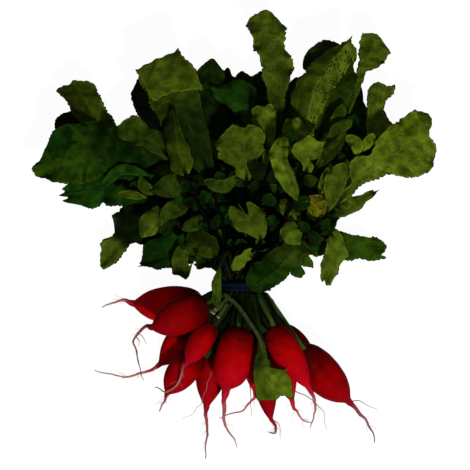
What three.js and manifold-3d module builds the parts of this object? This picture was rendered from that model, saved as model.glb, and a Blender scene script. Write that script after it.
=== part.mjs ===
// A tied bunch of fourteen radishes with their leaves, lying on a table.
// Millimetres, +Z up, table at z = 0. The roots point to -Y and the leaves to +Y.
// Places are measured from near the tie, and at the end the whole bunch is shifted so that the
// middle of its footprint is the origin.
import * as THREE from "three";
import { mergeVertices } from "three/addons/utils/BufferGeometryUtils.js";
import Module from "manifold-3d";

const tie = { x: -2, z: 26 }; // middle of the rubber band
const stalkRadius = 1.65;
const stalkPitch = 4; // between neighbouring stalks of one row under the band
const rowPitch = 3.9; // between rows of stalks under the band
const rowSizes = [5, 7, 8, 8, 8, 7]; // stalks in each row, lowest row first
const tieReach = 5; // stalks run straight this far before and behind the band
const footRing = 2.9; // stalks stand this far from the middle of a radish's crown
const footLift = 6; // and leave it straight for this length
const footGap = 0.5; // between a stalk's foot and the crown
const bladeThickness = 0.8;
const gap = 0.3; // between pieces that touch
const band = { halfWidth: 19.7, halfHeight: 15.1, wall: 1.3, length: 7, sides: 40 };

const bulbSides = 10;
const leafSides = 6;
const stalkSteps = 9;
const bladeSteps = 7;
const frameSteps = 72; // steps along a spine over which its frame is carried
const rootSteps = 2; // rings of a taproot between two of its points
const stalkSlimness = 0.87; // a six-sided stalk's corners, as a share of its radius
const tipSharpening = 1.4; // rings of a blade lie closer together towards its tip
const bladeBluntness = 0.6; // lower makes blades broader near both ends
const flatteningShare = 0.3; // share of the blade over which the stalk flattens into it
const twistStart = 0.6; // share of the stalk after which it turns to the blade's facing
const usualFold = 12; // degrees
const usualWidest = 1.7;
const weldDistance = 1e-4;

// Radish outline: share of the way from crown to tip, and share of the greatest radius.
const bulbOutline = [
  [0, 0],
  [0.015, 0.4],
  [0.1, 0.76],
  [0.24, 0.96],
  [0.4, 1],
  [0.58, 0.9],
  [0.74, 0.7],
  [0.88, 0.42],
  [1, 0.22],
];
const rootTipRadius = 0.5;

// Each radish: crown and tip of the bulb, its girth, the thickness of its taproot where it starts
// and the points it runs through, and any points that lead its stalks to the band.
const radishes = [
  { crown: [-31, -13.5, 25], tip: [-81, -13, 4.5], girth: 27, rootRadius: 1.9,
    root: [[-89, -11, 4], [-96, -12, 3], [-106, -16, 2]] },
  { crown: [-27, -12, 46], tip: [-66, -28.5, 49], girth: 26, rootRadius: 1.3,
    lead: [[-17.5, -8, 41.5]],
    root: [[-71, -28, 45], [-79, -35, 38], [-79, -50, 24], [-74, -69, 9]] },
  { crown: [-23.5, -25.5, 44], tip: [-41.5, -54, 47], girth: 17.5, rootRadius: 1.4,
    root: [[-44, -57, 47], [-48, -69, 41], [-57, -76, 36], [-66, -73, 31]] },
  { crown: [-40, -32, 10], tip: [-62, -57, 8], girth: 21, rootRadius: 1.3,
    lead: [[-27, -27, 10], [-15, -17, 12]],
    root: [[-68, -61, 7], [-80, -65, 4], [-96, -66, 2.5], [-110, -62, 2]] },
  { crown: [-34, -46, 30.5], tip: [-56, -77, 26], girth: 23, rootRadius: 1.4,
    root: [[-58, -82, 21], [-63, -92, 14]] },
  { crown: [-21, -42, 11.5], tip: [-28, -87, 9.5], girth: 25, rootRadius: 1.7,
    root: [[-28, -96, 8], [-28, -110, 4.5], [-29, -127, 2]] },
  { crown: [-2.5, -29, 42], tip: [-13.5, -73, 38], girth: 27, rootRadius: 2.1,
    root: [[-15, -84, 30], [-15, -96, 22], [-11, -108, 14], [-5, -118, 7]] },
  { crown: [5.5, -35, 22.5], tip: [7.5, -76, 20.5], girth: 18, rootRadius: 1.2,
    root: [[7, -81, 14], [2, -88, 9], [-9, -94, 5], [-19, -97, 3]] },
  { crown: [12.5, -52, 8], tip: [19, -97, 7], girth: 17, rootRadius: 1.3,
    root: [[22, -104, 6], [22, -107, 5], [17, -107, 4]] },
  { crown: [21.5, -42, 23], tip: [34, -82, 20], girth: 20, rootRadius: 1.3,
    root: [[37, -91, 12], [43, -98, 6], [50, -100, 3]] },
  { crown: [18.5, -28, 48], tip: [45, -71, 46], girth: 21.5, rootRadius: 1.9,
    root: [[49, -79, 41], [51, -89, 31], [48, -103, 14]] },
  { crown: [39, -46, 32], tip: [75.5, -84, 5], girth: 28, rootRadius: 1.9,
    root: [[82, -91, 3.5], [92, -104, 2.5], [95, -115, 2]] },
  { crown: [25, -31, 9], tip: [49, -52, 7], girth: 18, rootRadius: 1.1,
    lead: [[18, -13, 14]],
    root: [[54, -55, 5], [62, -58, 3]] },
  { crown: [-24, -13, 7.5], tip: [-38, -22, 6], girth: 14, rootRadius: 1.1,
    root: [[-43, -24, 4], [-50, -25, 3]] },
];

// Each leaf: its place under the band [row, place from the left] and the radish it grows from,
// or the points of a loose stalk; any points between band and blade; the blade's points from
// start to tip; its width; the way its upper side faces; how far its halves fold up (degrees)
// and how near the tip it is widest.
const up = [0, 0, 1];
const leaves = [
  // hangs down from the band between the radishes
  { stalk: [[-15, -5, 43], [-6, -12.5, 48], [4, -26, 55]],
    blade: [[11, -38, 58], [13, -58, 55], [22, -82.5, 42]],
    width: 28, face: up, fold: 5, widest: 2.6 },
  // top row
  { slot: [5, 0], via: [[-20, 14, 43]], blade: [[-22, 22, 48], [-30, 31, 52], [-43, 32, 47]],
    width: 18, face: up, radish: 2 },
  { slot: [5, 1], blade: [[-42, 80, 66], [-48, 103, 71], [-51, 128, 66]],
    width: 24, face: up, fold: -32, radish: 2, widest: 0.9 },
  { slot: [5, 2], via: [[2, 22, 56]], blade: [[11, 34, 68], [4, 46, 75], [-6, 61, 71]],
    width: 25, face: up, fold: 5, radish: 3, widest: 2 },
  { slot: [5, 4], blade: [[8, 27, 57], [-2, 20, 62], [-10, 12, 58]],
    width: 10, face: [0, -0.5, 0.8], radish: 7 },
  { slot: [5, 3], via: [[10, 60, 66]], blade: [[24, 106, 82], [26, 88, 88], [37, 61, 80]],
    width: 16, face: up, fold: 6, radish: 7, widest: 0.8 },
  { slot: [5, 5], via: [[18, 30, 54]], blade: [[43, 82, 76], [44, 94, 82], [46, 107, 80]],
    width: 21, face: up, radish: 11, widest: 2.2 },
  { slot: [5, 6], via: [[18, 18, 50]], blade: [[36, 34, 58], [24, 14, 62], [3, -1, 52]],
    width: 26, face: up, radish: 11, widest: 0.9 },
  // fifth row
  { slot: [4, 0], stalk: [[-25, -18, 40], [-21, -10, 36]],
    blade: [[-54, 50, 47], [-65, 49, 51], [-75, 36, 45]],
    width: 16, face: up },
  { slot: [4, 1], blade: [[-36, 73, 55], [-52, 72, 60], [-68, 68, 54]],
    width: 19, face: up, fold: -4, radish: 2, widest: 1.1 },
  { slot: [4, 2], blade: [[1, 76, 62], [0, 95, 71], [-3, 116, 68]],
    width: 40, face: up, fold: 6, radish: 3, widest: 2.2 },
  { slot: [4, 3], blade: [[24, 62, 58], [32, 53, 61], [41, 45, 57]],
    width: 11, face: up, radish: 3, widest: 1 },
  { slot: [4, 4], blade: [[50, 84, 62], [60, 96, 67], [72, 110, 62]],
    width: 12, face: up, fold: -14, radish: 7, widest: 1 },
  { slot: [4, 5], blade: [[27, 45, 66], [32, 39, 70], [38, 31, 67]],
    width: 15, face: up, fold: 4, radish: 11 },
  { slot: [4, 6], blade: [[53, 50, 66], [50, 58, 71], [46, 66, 69]],
    width: 16, face: up, fold: -6, radish: 10 },
  { slot: [4, 7], blade: [[58, 54, 56], [63, 71, 62], [70, 89, 60]],
    width: 16, face: up, fold: 5, radish: 12 },
  // fourth row
  { slot: [3, 0], blade: [[-72, 74, 43], [-108, 92, 52], [-153, 84, 34]],
    width: 44, face: [0, -0.1, 1], fold: 10, radish: 1, widest: 1.2 },
  { slot: [3, 1], blade: [[-54, 93, 44], [-75, 108, 49], [-97, 112, 42]],
    width: 26, face: up, fold: -12, radish: 1, widest: 1.3 },
  { slot: [3, 2], blade: [[-26, 80, 50], [-45, 127, 58], [-62.5, 160, 52]],
    width: 42, face: up, fold: 2, radish: 5, widest: 1.8 },
  { slot: [3, 3], blade: [[14, 100, 60], [14, 116, 63], [13, 131, 60]],
    width: 19, face: up, fold: -8, radish: 5 },
  { slot: [3, 4], blade: [[20, 88, 52], [22, 148, 58], [14, 198, 48]],
    width: 28, face: up, fold: -7, radish: 8, widest: 2.6 },
  { slot: [3, 5], blade: [[33, 98, 66], [35, 110, 69], [37, 120, 66]],
    width: 19, face: up, radish: 8 },
  { slot: [3, 6], blade: [[40, 98, 52], [51, 145, 62], [76, 179, 48]],
    width: 30, face: up, fold: -30, radish: 12, widest: 1.4 },
  { slot: [3, 7], blade: [[66, 60, 48], [96, 90, 58], [136, 108, 46]],
    width: 46, face: up, fold: 4, radish: 12, widest: 2.4 },
  // third row
  { slot: [2, 0], blade: [[-39, 31, 24], [-47, 21, 24], [-44, 6, 13]],
    width: 14, face: up, radish: 1 },
  { slot: [2, 1], blade: [[-62, 62, 35], [-98, 71, 36], [-137, 66, 20]],
    width: 26, face: up, fold: -8, radish: 5, widest: 1.3 },
  { slot: [2, 2], blade: [[-80, 96, 32], [-106, 121, 37], [-127, 152, 26]],
    width: 26, face: up, fold: -22, radish: 6, widest: 2.2 },
  { slot: [2, 3], blade: [[-13, 84, 37], [-23, 130, 42], [-25, 165, 34]],
    width: 22, face: up, fold: -12, radish: 6, widest: 1.5 },
  { slot: [2, 4], blade: [[6, 112, 44], [0, 130, 49], [-25, 144, 43]],
    width: 30, face: up, fold: -14, radish: 8, widest: 1.6 },
  { slot: [2, 5], blade: [[52, 104, 38], [63, 146, 43], [60, 177, 36]],
    width: 36, face: up, fold: 8, radish: 9, widest: 2.2 },
  { slot: [2, 6], blade: [[72, 124, 34], [85, 157, 38], [97, 182, 30]],
    width: 22, face: up, fold: 5, radish: 10, widest: 2.6 },
  { slot: [2, 7], blade: [[58, 48, 36], [76, 58, 41], [97, 70, 35]],
    width: 12, face: up, fold: -10, radish: 10, widest: 1.3 },
  // second row
  { slot: [1, 0], blade: [[-36, 21, 15], [-56, 22, 15], [-77, 15, 9]],
    width: 26, face: up, radish: 14, widest: 1.2 },
  { slot: [1, 1], blade: [[-62, 54, 18], [-84, 40, 18], [-105, 14, 8]],
    width: 24, face: up, fold: 8, radish: 4, widest: 1.2 },
  { slot: [1, 2], blade: [[-84, 84, 14], [-114, 112, 15], [-140, 121, 9]],
    width: 26, face: up, radish: 4 },
  { slot: [1, 3], blade: [[-4, 36, 16], [-8, 106, 15], [-3, 158, 9]],
    width: 44, face: up, radish: 6 },
  { slot: [1, 4], blade: [[92, 100, 26], [95, 122, 29], [98, 148, 23]],
    width: 20, face: up, radish: 9, widest: 1.7 },
  { slot: [1, 5], blade: [[62, 38, 27], [64, 20, 29], [58, 2, 17]],
    width: 18, face: up, fold: 6, radish: 13, widest: 1.1 },
  { slot: [1, 6], blade: [[40, 32, 15], [72, 31, 17], [105, 27, 8]],
    width: 22, face: up, fold: -8, radish: 13, widest: 1.2 },
  // lowest row
  { slot: [0, 0], blade: [[-28, 22, 6], [-58, 40, 2], [-88, 50, 0.6]],
    width: 30, face: up, radish: 14 },
  { slot: [0, 1], blade: [[-26, 30, 6], [-72, 74, 2], [-114, 104, 0.6]],
    width: 46, face: up, radish: 14 },
  { slot: [0, 2], blade: [[-14, 34, 6], [-44, 92, 2], [-66, 142, 0.6]],
    width: 48, face: up, radish: 4 },
  { slot: [0, 3], blade: [[14, 30, 6], [38, 98, 2], [46, 156, 0.6]],
    width: 50, face: up, radish: 9 },
  { slot: [0, 4], blade: [[24, 30, 6], [62, 86, 2], [82, 146, 0.6]],
    width: 44, face: up, radish: 13 },
  // loose leaf tucked in at the top of the band
  { stalk: [[-13, 26, 52], [-15.5, 20, 52]], blade: [[-18, 15, 52], [-20, 2, 52], [-21, -15, 50]],
    width: 8, face: up, fold: -10, widest: 1.2 },
];

const radishRed = "#9c0a12";
const leafGreen = "#445212";
const bandBlue = "#16283a";

const wasm = await Module();
wasm.setup();

const toVector = (point) => new THREE.Vector3(...point);

// A smooth curve through the points, with a frame that is carried along it and never flips.
class Spine {
  constructor(points) {
    this.curve = new THREE.CatmullRomCurve3(points.map(toVector));
    this.frames = [];
    let normal = toVector(up);
    for (let i = 0; i <= frameSteps; i += 1) {
      const share = i / frameSteps;
      const tangent = this.tangentAt(share);
      normal = normal.clone().addScaledVector(tangent, -normal.dot(tangent)).normalize();
      this.frames.push({ share, normal });
    }
  }

  tangentAt(share) {
    const step = 0.5 / frameSteps;
    const ahead = this.curve.getPoint(Math.min(share + step, 1));
    const behind = this.curve.getPoint(Math.max(share - step, 0));
    return ahead.sub(behind).normalize();
  }

  frameAt(share) {
    const place = Math.min(share * frameSteps, frameSteps - 1e-6);
    const first = Math.floor(place);
    const tangent = this.tangentAt(share);
    const normal = this.frames[first].normal.clone().lerp(this.frames[first + 1].normal, place - first);
    normal.addScaledVector(tangent, -normal.dot(tangent)).normalize();
    const side = tangent.clone().cross(normal);
    return { point: this.curve.getPoint(share), tangent, normal, side };
  }
}

// A closed prism whose rings are set by place(step, x, y), with x and y on the unit circle.
function loft(sides, steps, turn, place) {
  const prism = new THREE.CylinderGeometry(1, 1, steps, sides, steps, false, turn);
  const position = prism.attributes.position;
  for (let i = 0; i < position.count; i += 1) {
    const step = Math.round(position.getY(i) + steps / 2);
    const spot = place(step, position.getX(i), position.getZ(i));
    position.setXYZ(i, spot.x, spot.y, spot.z);
  }
  return solidFrom(prism);
}

function solidFrom(geometry) {
  geometry.deleteAttribute("normal");
  geometry.deleteAttribute("uv");
  const merged = mergeVertices(geometry, weldDistance);
  const solid = new wasm.Manifold(
    new wasm.Mesh({
      numProp: 3,
      vertProperties: new Float32Array(merged.attributes.position.array),
      triVerts: new Uint32Array(merged.index.array),
    }),
  );
  return solid;
}

function meshFrom(name, solid, color, roughness) {
  const data = solid.getMesh();
  const geometry = new THREE.BufferGeometry();
  geometry.setAttribute("position", new THREE.BufferAttribute(new Float32Array(data.vertProperties), 3));
  geometry.setIndex(new THREE.BufferAttribute(new Uint32Array(data.triVerts), 1));
  geometry.computeVertexNormals();
  const mesh = new THREE.Mesh(geometry, new THREE.MeshStandardMaterial({ color, roughness, metalness: 0 }));
  mesh.name = name;
  return mesh;
}

// A radish bulb and its taproot as one solid, flattened where it rests on the table.
function buildRadish(radish, extra = 0) {
  const spine = new Spine([radish.crown, radish.tip, ...radish.root]);
  const bulbShare = 1 / (radish.root.length + 1);
  const rings = bulbOutline.slice(1).map(([share, size]) => ({
    share: share * bulbShare,
    radius: Math.max((size * radish.girth) / 2, radish.rootRadius),
  }));
  const rootRings = radish.root.length * rootSteps;
  for (let i = 1; i <= rootRings; i += 1) {
    const along = i / rootRings;
    const radius = THREE.MathUtils.lerp(radish.rootRadius, rootTipRadius, Math.sqrt(along));
    rings.push({ share: bulbShare + along * (1 - bulbShare), radius });
  }
  return loft(bulbSides, rings.length - 1, Math.PI / bulbSides, (step, x, y) => {
    const ring = rings[step];
    const { point, normal, side } = spine.frameAt(ring.share);
    const radius = ring.radius + extra;
    point.addScaledVector(side, x * radius).addScaledVector(normal, y * radius);
    point.z = Math.max(point.z, 0);
    return point;
  });
}

function slotPlace([row, place]) {
  return {
    x: tie.x + (place - (rowSizes[row] - 1) / 2) * stalkPitch,
    z: tie.z + (row - (rowSizes.length - 1) / 2) * rowPitch,
  };
}

// Where a leaf's stalk starts on its radish, keeping the order that the stalks have at the band.
function footOf(leaf) {
  const radish = radishes[leaf.radish - 1];
  const crown = toVector(radish.crown);
  const axis = crown.clone().sub(toVector(radish.tip)).normalize();
  const side = axis.clone().cross(toVector(up)).normalize();
  const rise = side.clone().cross(axis);
  const siblings = leaves.filter((other) => other.radish === leaf.radish);
  const mates = siblings.map((other) => slotPlace(other.slot));
  const own = slotPlace(leaf.slot);
  const middleX = mates.reduce((sum, mate) => sum + mate.x, 0) / mates.length;
  const middleZ = mates.reduce((sum, mate) => sum + mate.z, 0) / mates.length;
  const away = new THREE.Vector2(own.x - middleX, own.z - middleZ).normalize().multiplyScalar(footRing);
  const foot = crown.addScaledVector(side, away.x).addScaledVector(rise, away.y);
  return { foot, axis };
}

// The points of a stalk from its radish's crown up to the band.
function rootedStalk(leaf) {
  const { foot, axis } = footOf(leaf);
  const start = foot.clone().addScaledVector(axis, footGap);
  const lift = start.clone().addScaledVector(axis, footLift);
  const radish = radishes[leaf.radish - 1];
  const offset = foot.sub(toVector(radish.crown));
  const lead = (radish.lead ?? []).map((point) => toVector(point).add(offset).toArray());
  return [start.toArray(), lift.toArray(), ...lead];
}

function leafPoints(leaf) {
  const stalk = [...(leaf.stalk ?? rootedStalk(leaf))];
  if (leaf.slot) {
    const { x, z } = slotPlace(leaf.slot);
    stalk.push([x, -tieReach, z], [x, tieReach, z]);
  }
  stalk.push(...(leaf.via ?? []));
  return { points: [...stalk, ...leaf.blade], bladeStart: stalk.length };
}

// Half the width of a blade, from its start (0) to its tip (1), as a share of the greatest.
function bladeSpread(along, widest) {
  return Math.pow(Math.max(Math.sin(Math.PI * Math.pow(along, widest)), 0), bladeBluntness);
}

// A leaf as one solid: a round stalk that flattens into a blade with raised halves.
function buildLeaf(leaf, extra = 0) {
  const { points, bladeStart } = leafPoints(leaf);
  const spine = new Spine(points);
  const bladeShare = bladeStart / (points.length - 1);
  const middle = spine.frameAt((1 + bladeShare) / 2);
  const face = toVector(leaf.face);
  const twist = Math.atan2(face.dot(middle.side), face.dot(middle.normal));
  const fold = Math.tan(THREE.MathUtils.degToRad(leaf.fold ?? usualFold));
  const steps = stalkSteps + bladeSteps;
  return loft(leafSides, steps, 0, (step, x, y) => {
    const along = 1 - Math.pow(Math.min(1, (steps - step) / bladeSteps), tipSharpening);
    const onStalk = step < stalkSteps;
    const share = onStalk ? (step / stalkSteps) * bladeShare : bladeShare + along * (1 - bladeShare);
    const { point, normal, side } = spine.frameAt(share);
    const turn = twist * THREE.MathUtils.smoothstep(share, bladeShare * twistStart, bladeShare);
    const across = side.clone().multiplyScalar(Math.cos(turn)).addScaledVector(normal, -Math.sin(turn));
    const outward = normal.clone().multiplyScalar(Math.cos(turn)).addScaledVector(side, Math.sin(turn));
    const flatness = THREE.MathUtils.smoothstep(along, 0, flatteningShare);
    const thickness = THREE.MathUtils.lerp(stalkRadius, bladeThickness / 2, flatness) + extra;
    const spread = (leaf.width / 2) * bladeSpread(along, leaf.widest ?? usualWidest);
    const reach = Math.max(spread, thickness) + extra;
    const width = Math.sign(Math.round(x * 4)) * (along > 0 ? reach : reach * stalkSlimness);
    const height = y * thickness + Math.abs(width) * fold * flatness;
    point.addScaledVector(across, width).addScaledVector(outward, height);
    point.z = Math.max(point.z, 0);
    return point;
  });
}

// The rubber band round the stalks.
function buildBand(extra = 0) {
  const outer = { x: band.halfWidth + band.wall + extra, z: band.halfHeight + band.wall + extra };
  const inner = { x: band.halfWidth - extra, z: band.halfHeight - extra };
  const outline = new THREE.Shape();
  outline.absellipse(0, 0, outer.x, outer.z, 0, Math.PI * 2, false, 0);
  const hole = new THREE.Path();
  hole.absellipse(0, 0, inner.x, inner.z, 0, Math.PI * 2, true, 0);
  outline.holes.push(hole);
  const length = band.length + 2 * extra;
  const ring = new THREE.ExtrudeGeometry(outline, {
    depth: length,
    bevelEnabled: false,
    curveSegments: band.sides,
  });
  ring.translate(0, 0, -length / 2);
  ring.rotateX(Math.PI / 2);
  ring.translate(tie.x, 0, tie.z);
  return solidFrom(ring);
}

const twoDigits = (number) => String(number).padStart(2, "0");
const pieces = [
  ...radishes.map((radish, index) => ({
    name: "radish_" + twoDigits(index + 1),
    build: (extra) => buildRadish(radish, extra),
    color: radishRed,
    roughness: 0.35,
  })),
  { name: "rubber_band", build: buildBand, color: bandBlue, roughness: 0.5 },
  ...leaves.map((leaf, index) => ({
    name: "leaf_" + twoDigits(index + 1),
    build: (extra) => buildLeaf(leaf, extra),
    color: leafGreen,
    roughness: 0.6,
  })),
];

// Where a later piece would run into an earlier one, it is cut back by the gap.
function cutClear(solid, earlier) {
  const cutters = earlier.filter((other) => solid.intersect(other.clearance).volume() > 0);
  const cut = cutters.reduce((rest, other) => rest.subtract(other.clearance), solid);
  const parts = cut.decompose();
  return parts.reduce((largest, part) => (part.volume() > largest.volume() ? part : largest));
}

const bunch = new THREE.Group();
const made = [];
for (const piece of pieces) {
  const solid = cutClear(piece.build(), made);
  made.push({ clearance: piece.build(gap) });
  bunch.add(meshFrom(piece.name, solid, piece.color, piece.roughness));
}
const middle = new THREE.Box3().setFromObject(bunch).getCenter(new THREE.Vector3());
bunch.position.set(-middle.x, -middle.y, 0);

export default bunch;
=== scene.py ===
# A tied bunch of red radishes with their leaves, lying on a pale table.
# Tables are in millimetres, measured from near the tie as in the solid model; meshes are in metres.
import math

import bpy
import numpy as np
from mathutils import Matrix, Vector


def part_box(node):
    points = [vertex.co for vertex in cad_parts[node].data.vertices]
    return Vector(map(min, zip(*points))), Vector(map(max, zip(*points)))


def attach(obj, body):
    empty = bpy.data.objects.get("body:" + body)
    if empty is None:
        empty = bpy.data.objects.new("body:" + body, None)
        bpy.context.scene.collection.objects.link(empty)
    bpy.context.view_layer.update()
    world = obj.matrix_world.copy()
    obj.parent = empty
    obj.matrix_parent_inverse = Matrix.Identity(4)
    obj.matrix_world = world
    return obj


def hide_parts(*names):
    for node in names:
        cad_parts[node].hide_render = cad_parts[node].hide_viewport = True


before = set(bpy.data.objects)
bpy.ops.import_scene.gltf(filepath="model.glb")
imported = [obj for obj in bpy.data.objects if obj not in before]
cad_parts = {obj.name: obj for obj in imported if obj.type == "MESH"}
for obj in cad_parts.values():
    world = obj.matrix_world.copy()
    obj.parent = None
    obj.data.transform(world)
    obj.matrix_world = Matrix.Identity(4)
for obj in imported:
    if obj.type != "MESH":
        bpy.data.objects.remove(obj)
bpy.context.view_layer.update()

metresPerMm = 0.001
tie = np.array([-2.0, 0.0, 26.0])  # middle of the rubber band, mm
seeds = {"radish": 100, "band": 7, "leaf": 400, "sprouts": 900}


def bandMiddle():
    low, high = (np.array(corner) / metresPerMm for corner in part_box("rubber_band"))
    return (low + high) / 2


bunchShift = bandMiddle() - tie


# ---- colours, nodes and meshes

def linearColour(hexColour):
    channels = [int(hexColour[i:i + 2], 16) / 255 for i in (1, 3, 5)]
    return [c / 12.92 if c <= 0.04045 else ((c + 0.055) / 1.055) ** 2.4 for c in channels] + [1.0]


def addNode(tree, kind, settings):
    # each setting is one of the node's own, or an input's value or the socket that feeds it
    node = tree.nodes.new(kind)
    for key, value in settings.items():
        if isinstance(value, bpy.types.NodeSocket):
            tree.links.new(value, node.inputs[key])
        elif isinstance(key, str) and hasattr(node, key):
            setattr(node, key, value)
        else:
            node.inputs[key].default_value = value
    return node


def attributeOf(tree, name, output="Vector"):
    return addNode(tree, "ShaderNodeAttribute", {"attribute_name": name}).outputs[output]


def noiseNode(tree, place, scale, detail):
    return addNode(tree, "ShaderNodeTexNoise", {"Vector": place, "Scale": scale, "Detail": detail})


def mathsOf(tree, operation, first, second, clamped=False):
    settings = {"operation": operation, "use_clamp": clamped, 0: first, 1: second}
    return addNode(tree, "ShaderNodeMath", settings).outputs["Value"]


def mapped(tree, value, fromMin, fromMax, toMin, toMax):
    # the sets of four numbers in the looks are these: a range of the pattern and what it becomes
    node = addNode(tree, "ShaderNodeMapRange", {"Value": value, "From Min": fromMin, "From Max": fromMax,
                                                "To Min": toMin, "To Max": toMax})
    return node.outputs["Result"]


def scaled(tree, colour, factor):
    node = addNode(tree, "ShaderNodeVectorMath", {"operation": "SCALE", "Vector": colour, "Scale": factor})
    return node.outputs["Vector"]


def mixed(tree, share, first, second):
    node = addNode(tree, "ShaderNodeMix", {"data_type": "RGBA", 0: share, 6: first, 7: second})
    return node.outputs[2]


def relief(tree, height, strength, distance):
    node = addNode(tree, "ShaderNodeBump", {"Strength": strength, "Distance": distance, "Height": height})
    return node.outputs["Normal"]


def newMaterial(name):
    material = bpy.data.materials.new(name)
    material.use_nodes = True
    material.node_tree.nodes.clear()
    return material, material.node_tree


def finishMaterial(tree, look, settings):
    shader = addNode(tree, "ShaderNodeBsdfPrincipled",
                     {"IOR": look["ior"], "Roughness": look["roughness"], "Specular IOR Level": look["shine"],
                      **settings})
    addNode(tree, "ShaderNodeOutputMaterial", {"Surface": shader.outputs["BSDF"]})


def placed(name, data):
    thing = bpy.data.objects.new(name, data)
    bpy.context.scene.collection.objects.link(thing)
    return thing


attributeKinds = {1: ("FLOAT", "value"), 3: ("FLOAT_VECTOR", "vector"), 4: ("FLOAT_COLOR", "color")}


def makePiece(name, parts, material, nodes):
    # parts are (vertices in mm, faces, {attribute: values}); they become one mesh
    vertices, faces, values = [], [], {}
    count = 0
    for partVertices, partFaces, partValues in parts:
        vertices.append(partVertices)
        faces.extend([tuple(i + count for i in face) for face in partFaces])
        for key, data in partValues.items():
            rows = np.asarray(data, dtype=np.float32).reshape(len(partVertices), -1)
            values.setdefault(key, []).append(rows)
        count += len(partVertices)
    allVertices = (np.concatenate(vertices) + bunchShift) * metresPerMm
    allVertices[:, 2] = np.maximum(allVertices[:, 2], 0.0)
    mesh = bpy.data.meshes.new(name)
    mesh.from_pydata(allVertices.tolist(), [], faces)
    for key, data in values.items():
        joined = np.concatenate(data)
        kind, field = attributeKinds[joined.shape[1]]
        mesh.attributes.new(key, kind, "POINT").data.foreach_set(field, joined.ravel())
    mesh.materials.append(material)
    mesh.polygons.foreach_set("use_smooth", [True] * len(mesh.polygons))
    mesh.update()
    piece = placed(name, mesh)
    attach(piece, "root")
    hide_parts(*nodes)
    return piece


# ---- curves and waves

def unit(vectors):
    return vectors / np.linalg.norm(vectors, axis=-1, keepdims=True)


class Spine:
    # a smooth curve through the points, with a frame carried along it that never flips
    def __init__(self, points, frameSteps=72):
        middle = np.array(points, dtype=float)
        first = 2 * middle[0] - middle[1]
        last = 2 * middle[-1] - middle[-2]
        p = np.vstack([first, middle, last])
        d = np.maximum(np.linalg.norm(np.diff(p, axis=0), axis=1) ** 0.5, 1e-3)
        self.cubics = []
        for i in range(1, len(p) - 2):
            a, b, c, e = p[i - 1], p[i], p[i + 1], p[i + 2]
            before, own, after = d[i - 1], d[i], d[i + 1]
            start = ((b - a) / before - (c - a) / (before + own) + (c - b) / own) * own
            end = ((c - b) / own - (e - b) / (own + after) + (e - c) / after) * own
            self.cubics.append((b, start, -3 * b + 3 * c - 2 * start - end, 2 * b - 2 * c + start + end))
        self.cubics = np.array(self.cubics)
        self.frameSteps = frameSteps
        shares = np.linspace(0, 1, frameSteps + 1)
        tangents = self.tangents(shares)
        normal = np.array([0.0, 0.0, 1.0])
        self.normals = []
        for tangent in tangents:
            normal = unit(normal - tangent * normal.dot(tangent))
            self.normals.append(normal)
        self.normals = np.array(self.normals)

    def points(self, shares):
        place = np.clip(np.asarray(shares, dtype=float), 0, 1) * len(self.cubics)
        piece = np.minimum(place.astype(int), len(self.cubics) - 1)
        w = (place - piece)[..., None]
        c = self.cubics[piece]
        return c[..., 0, :] + w * (c[..., 1, :] + w * (c[..., 2, :] + w * c[..., 3, :]))

    def tangents(self, shares):
        step = 0.5 / self.frameSteps
        shares = np.asarray(shares, dtype=float)
        return unit(self.points(np.minimum(shares + step, 1)) - self.points(np.maximum(shares - step, 0)))

    def frames(self, shares):
        shares = np.asarray(shares, dtype=float)
        tangents = self.tangents(shares)
        place = np.clip(shares * self.frameSteps, 0, self.frameSteps - 1e-6)
        first = place.astype(int)
        w = (place - first)[..., None]
        normals = self.normals[first] * (1 - w) + self.normals[first + 1] * w
        normals = unit(normals - tangents * (normals * tangents).sum(-1, keepdims=True))
        return self.points(shares), tangents, normals, np.cross(tangents, normals)

    def length(self, start=0.0, end=1.0):
        points = self.points(np.linspace(start, end, 60))
        return float(np.linalg.norm(np.diff(points, axis=0), axis=1).sum())

    def twistTo(self, share, face):
        _, _, normal, side = (v[0] for v in self.frames([share]))
        return math.atan2(np.dot(face, side), np.dot(face, normal))


def smoothSteps(value, start, end):
    t = np.clip((np.asarray(value, dtype=float) - start) / (end - start), 0, 1)
    return t * t * (3 - 2 * t)


def throughKnots(knots, x):
    # a smooth line through (place, value) knots
    k = np.array(knots, dtype=float)
    slopes = np.gradient(k[:, 1], k[:, 0])
    x = np.asarray(x, dtype=float)
    i = np.clip(np.searchsorted(k[:, 0], x, side="right") - 1, 0, len(k) - 2)
    h = k[i + 1, 0] - k[i, 0]
    t = np.clip((x - k[i, 0]) / h, 0, 1)
    return ((1 + 2 * t) * (1 - t) ** 2 * k[i, 1] + t * (1 - t) ** 2 * h * slopes[i]
            + t * t * (3 - 2 * t) * k[i + 1, 1] + t * t * (t - 1) * h * slopes[i + 1])


def ripples(rng, x, y, wavelength, waves=5):
    # smooth unevenness over a surface, about -1 to 1
    total = np.zeros(np.broadcast(x, y).shape)
    for _ in range(waves):
        angle = rng.uniform(0, 2 * math.pi)
        pitch = wavelength * rng.uniform(0.7, 1.5)
        phase = rng.uniform(0, 2 * math.pi)
        total = total + np.sin((x * math.cos(angle) + y * math.sin(angle)) * 2 * math.pi / pitch + phase)
    return total / math.sqrt(waves)


def ringAngles(sides):
    return np.arange(sides) / sides * 2 * math.pi


def ringFaces(rows, sides):
    faces = []
    for r in range(rows - 1):
        for s in range(sides):
            t = (s + 1) % sides
            faces.append((r * sides + s, (r + 1) * sides + s, (r + 1) * sides + t, r * sides + t))
    return faces


def tubeAround(points, across, upward, x, z):
    # x and z are the offsets of each ring's points, rings by sides; both ends are closed
    rows, sides = x.shape
    vertices = points[:, None, :] + across[:, None, :] * x[..., None] + upward[:, None, :] * z[..., None]
    ends = [tuple(range(sides)), tuple((rows - 1) * sides + s for s in reversed(range(sides)))]
    return vertices.reshape(-1, 3), ringFaces(rows, sides) + ends


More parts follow.
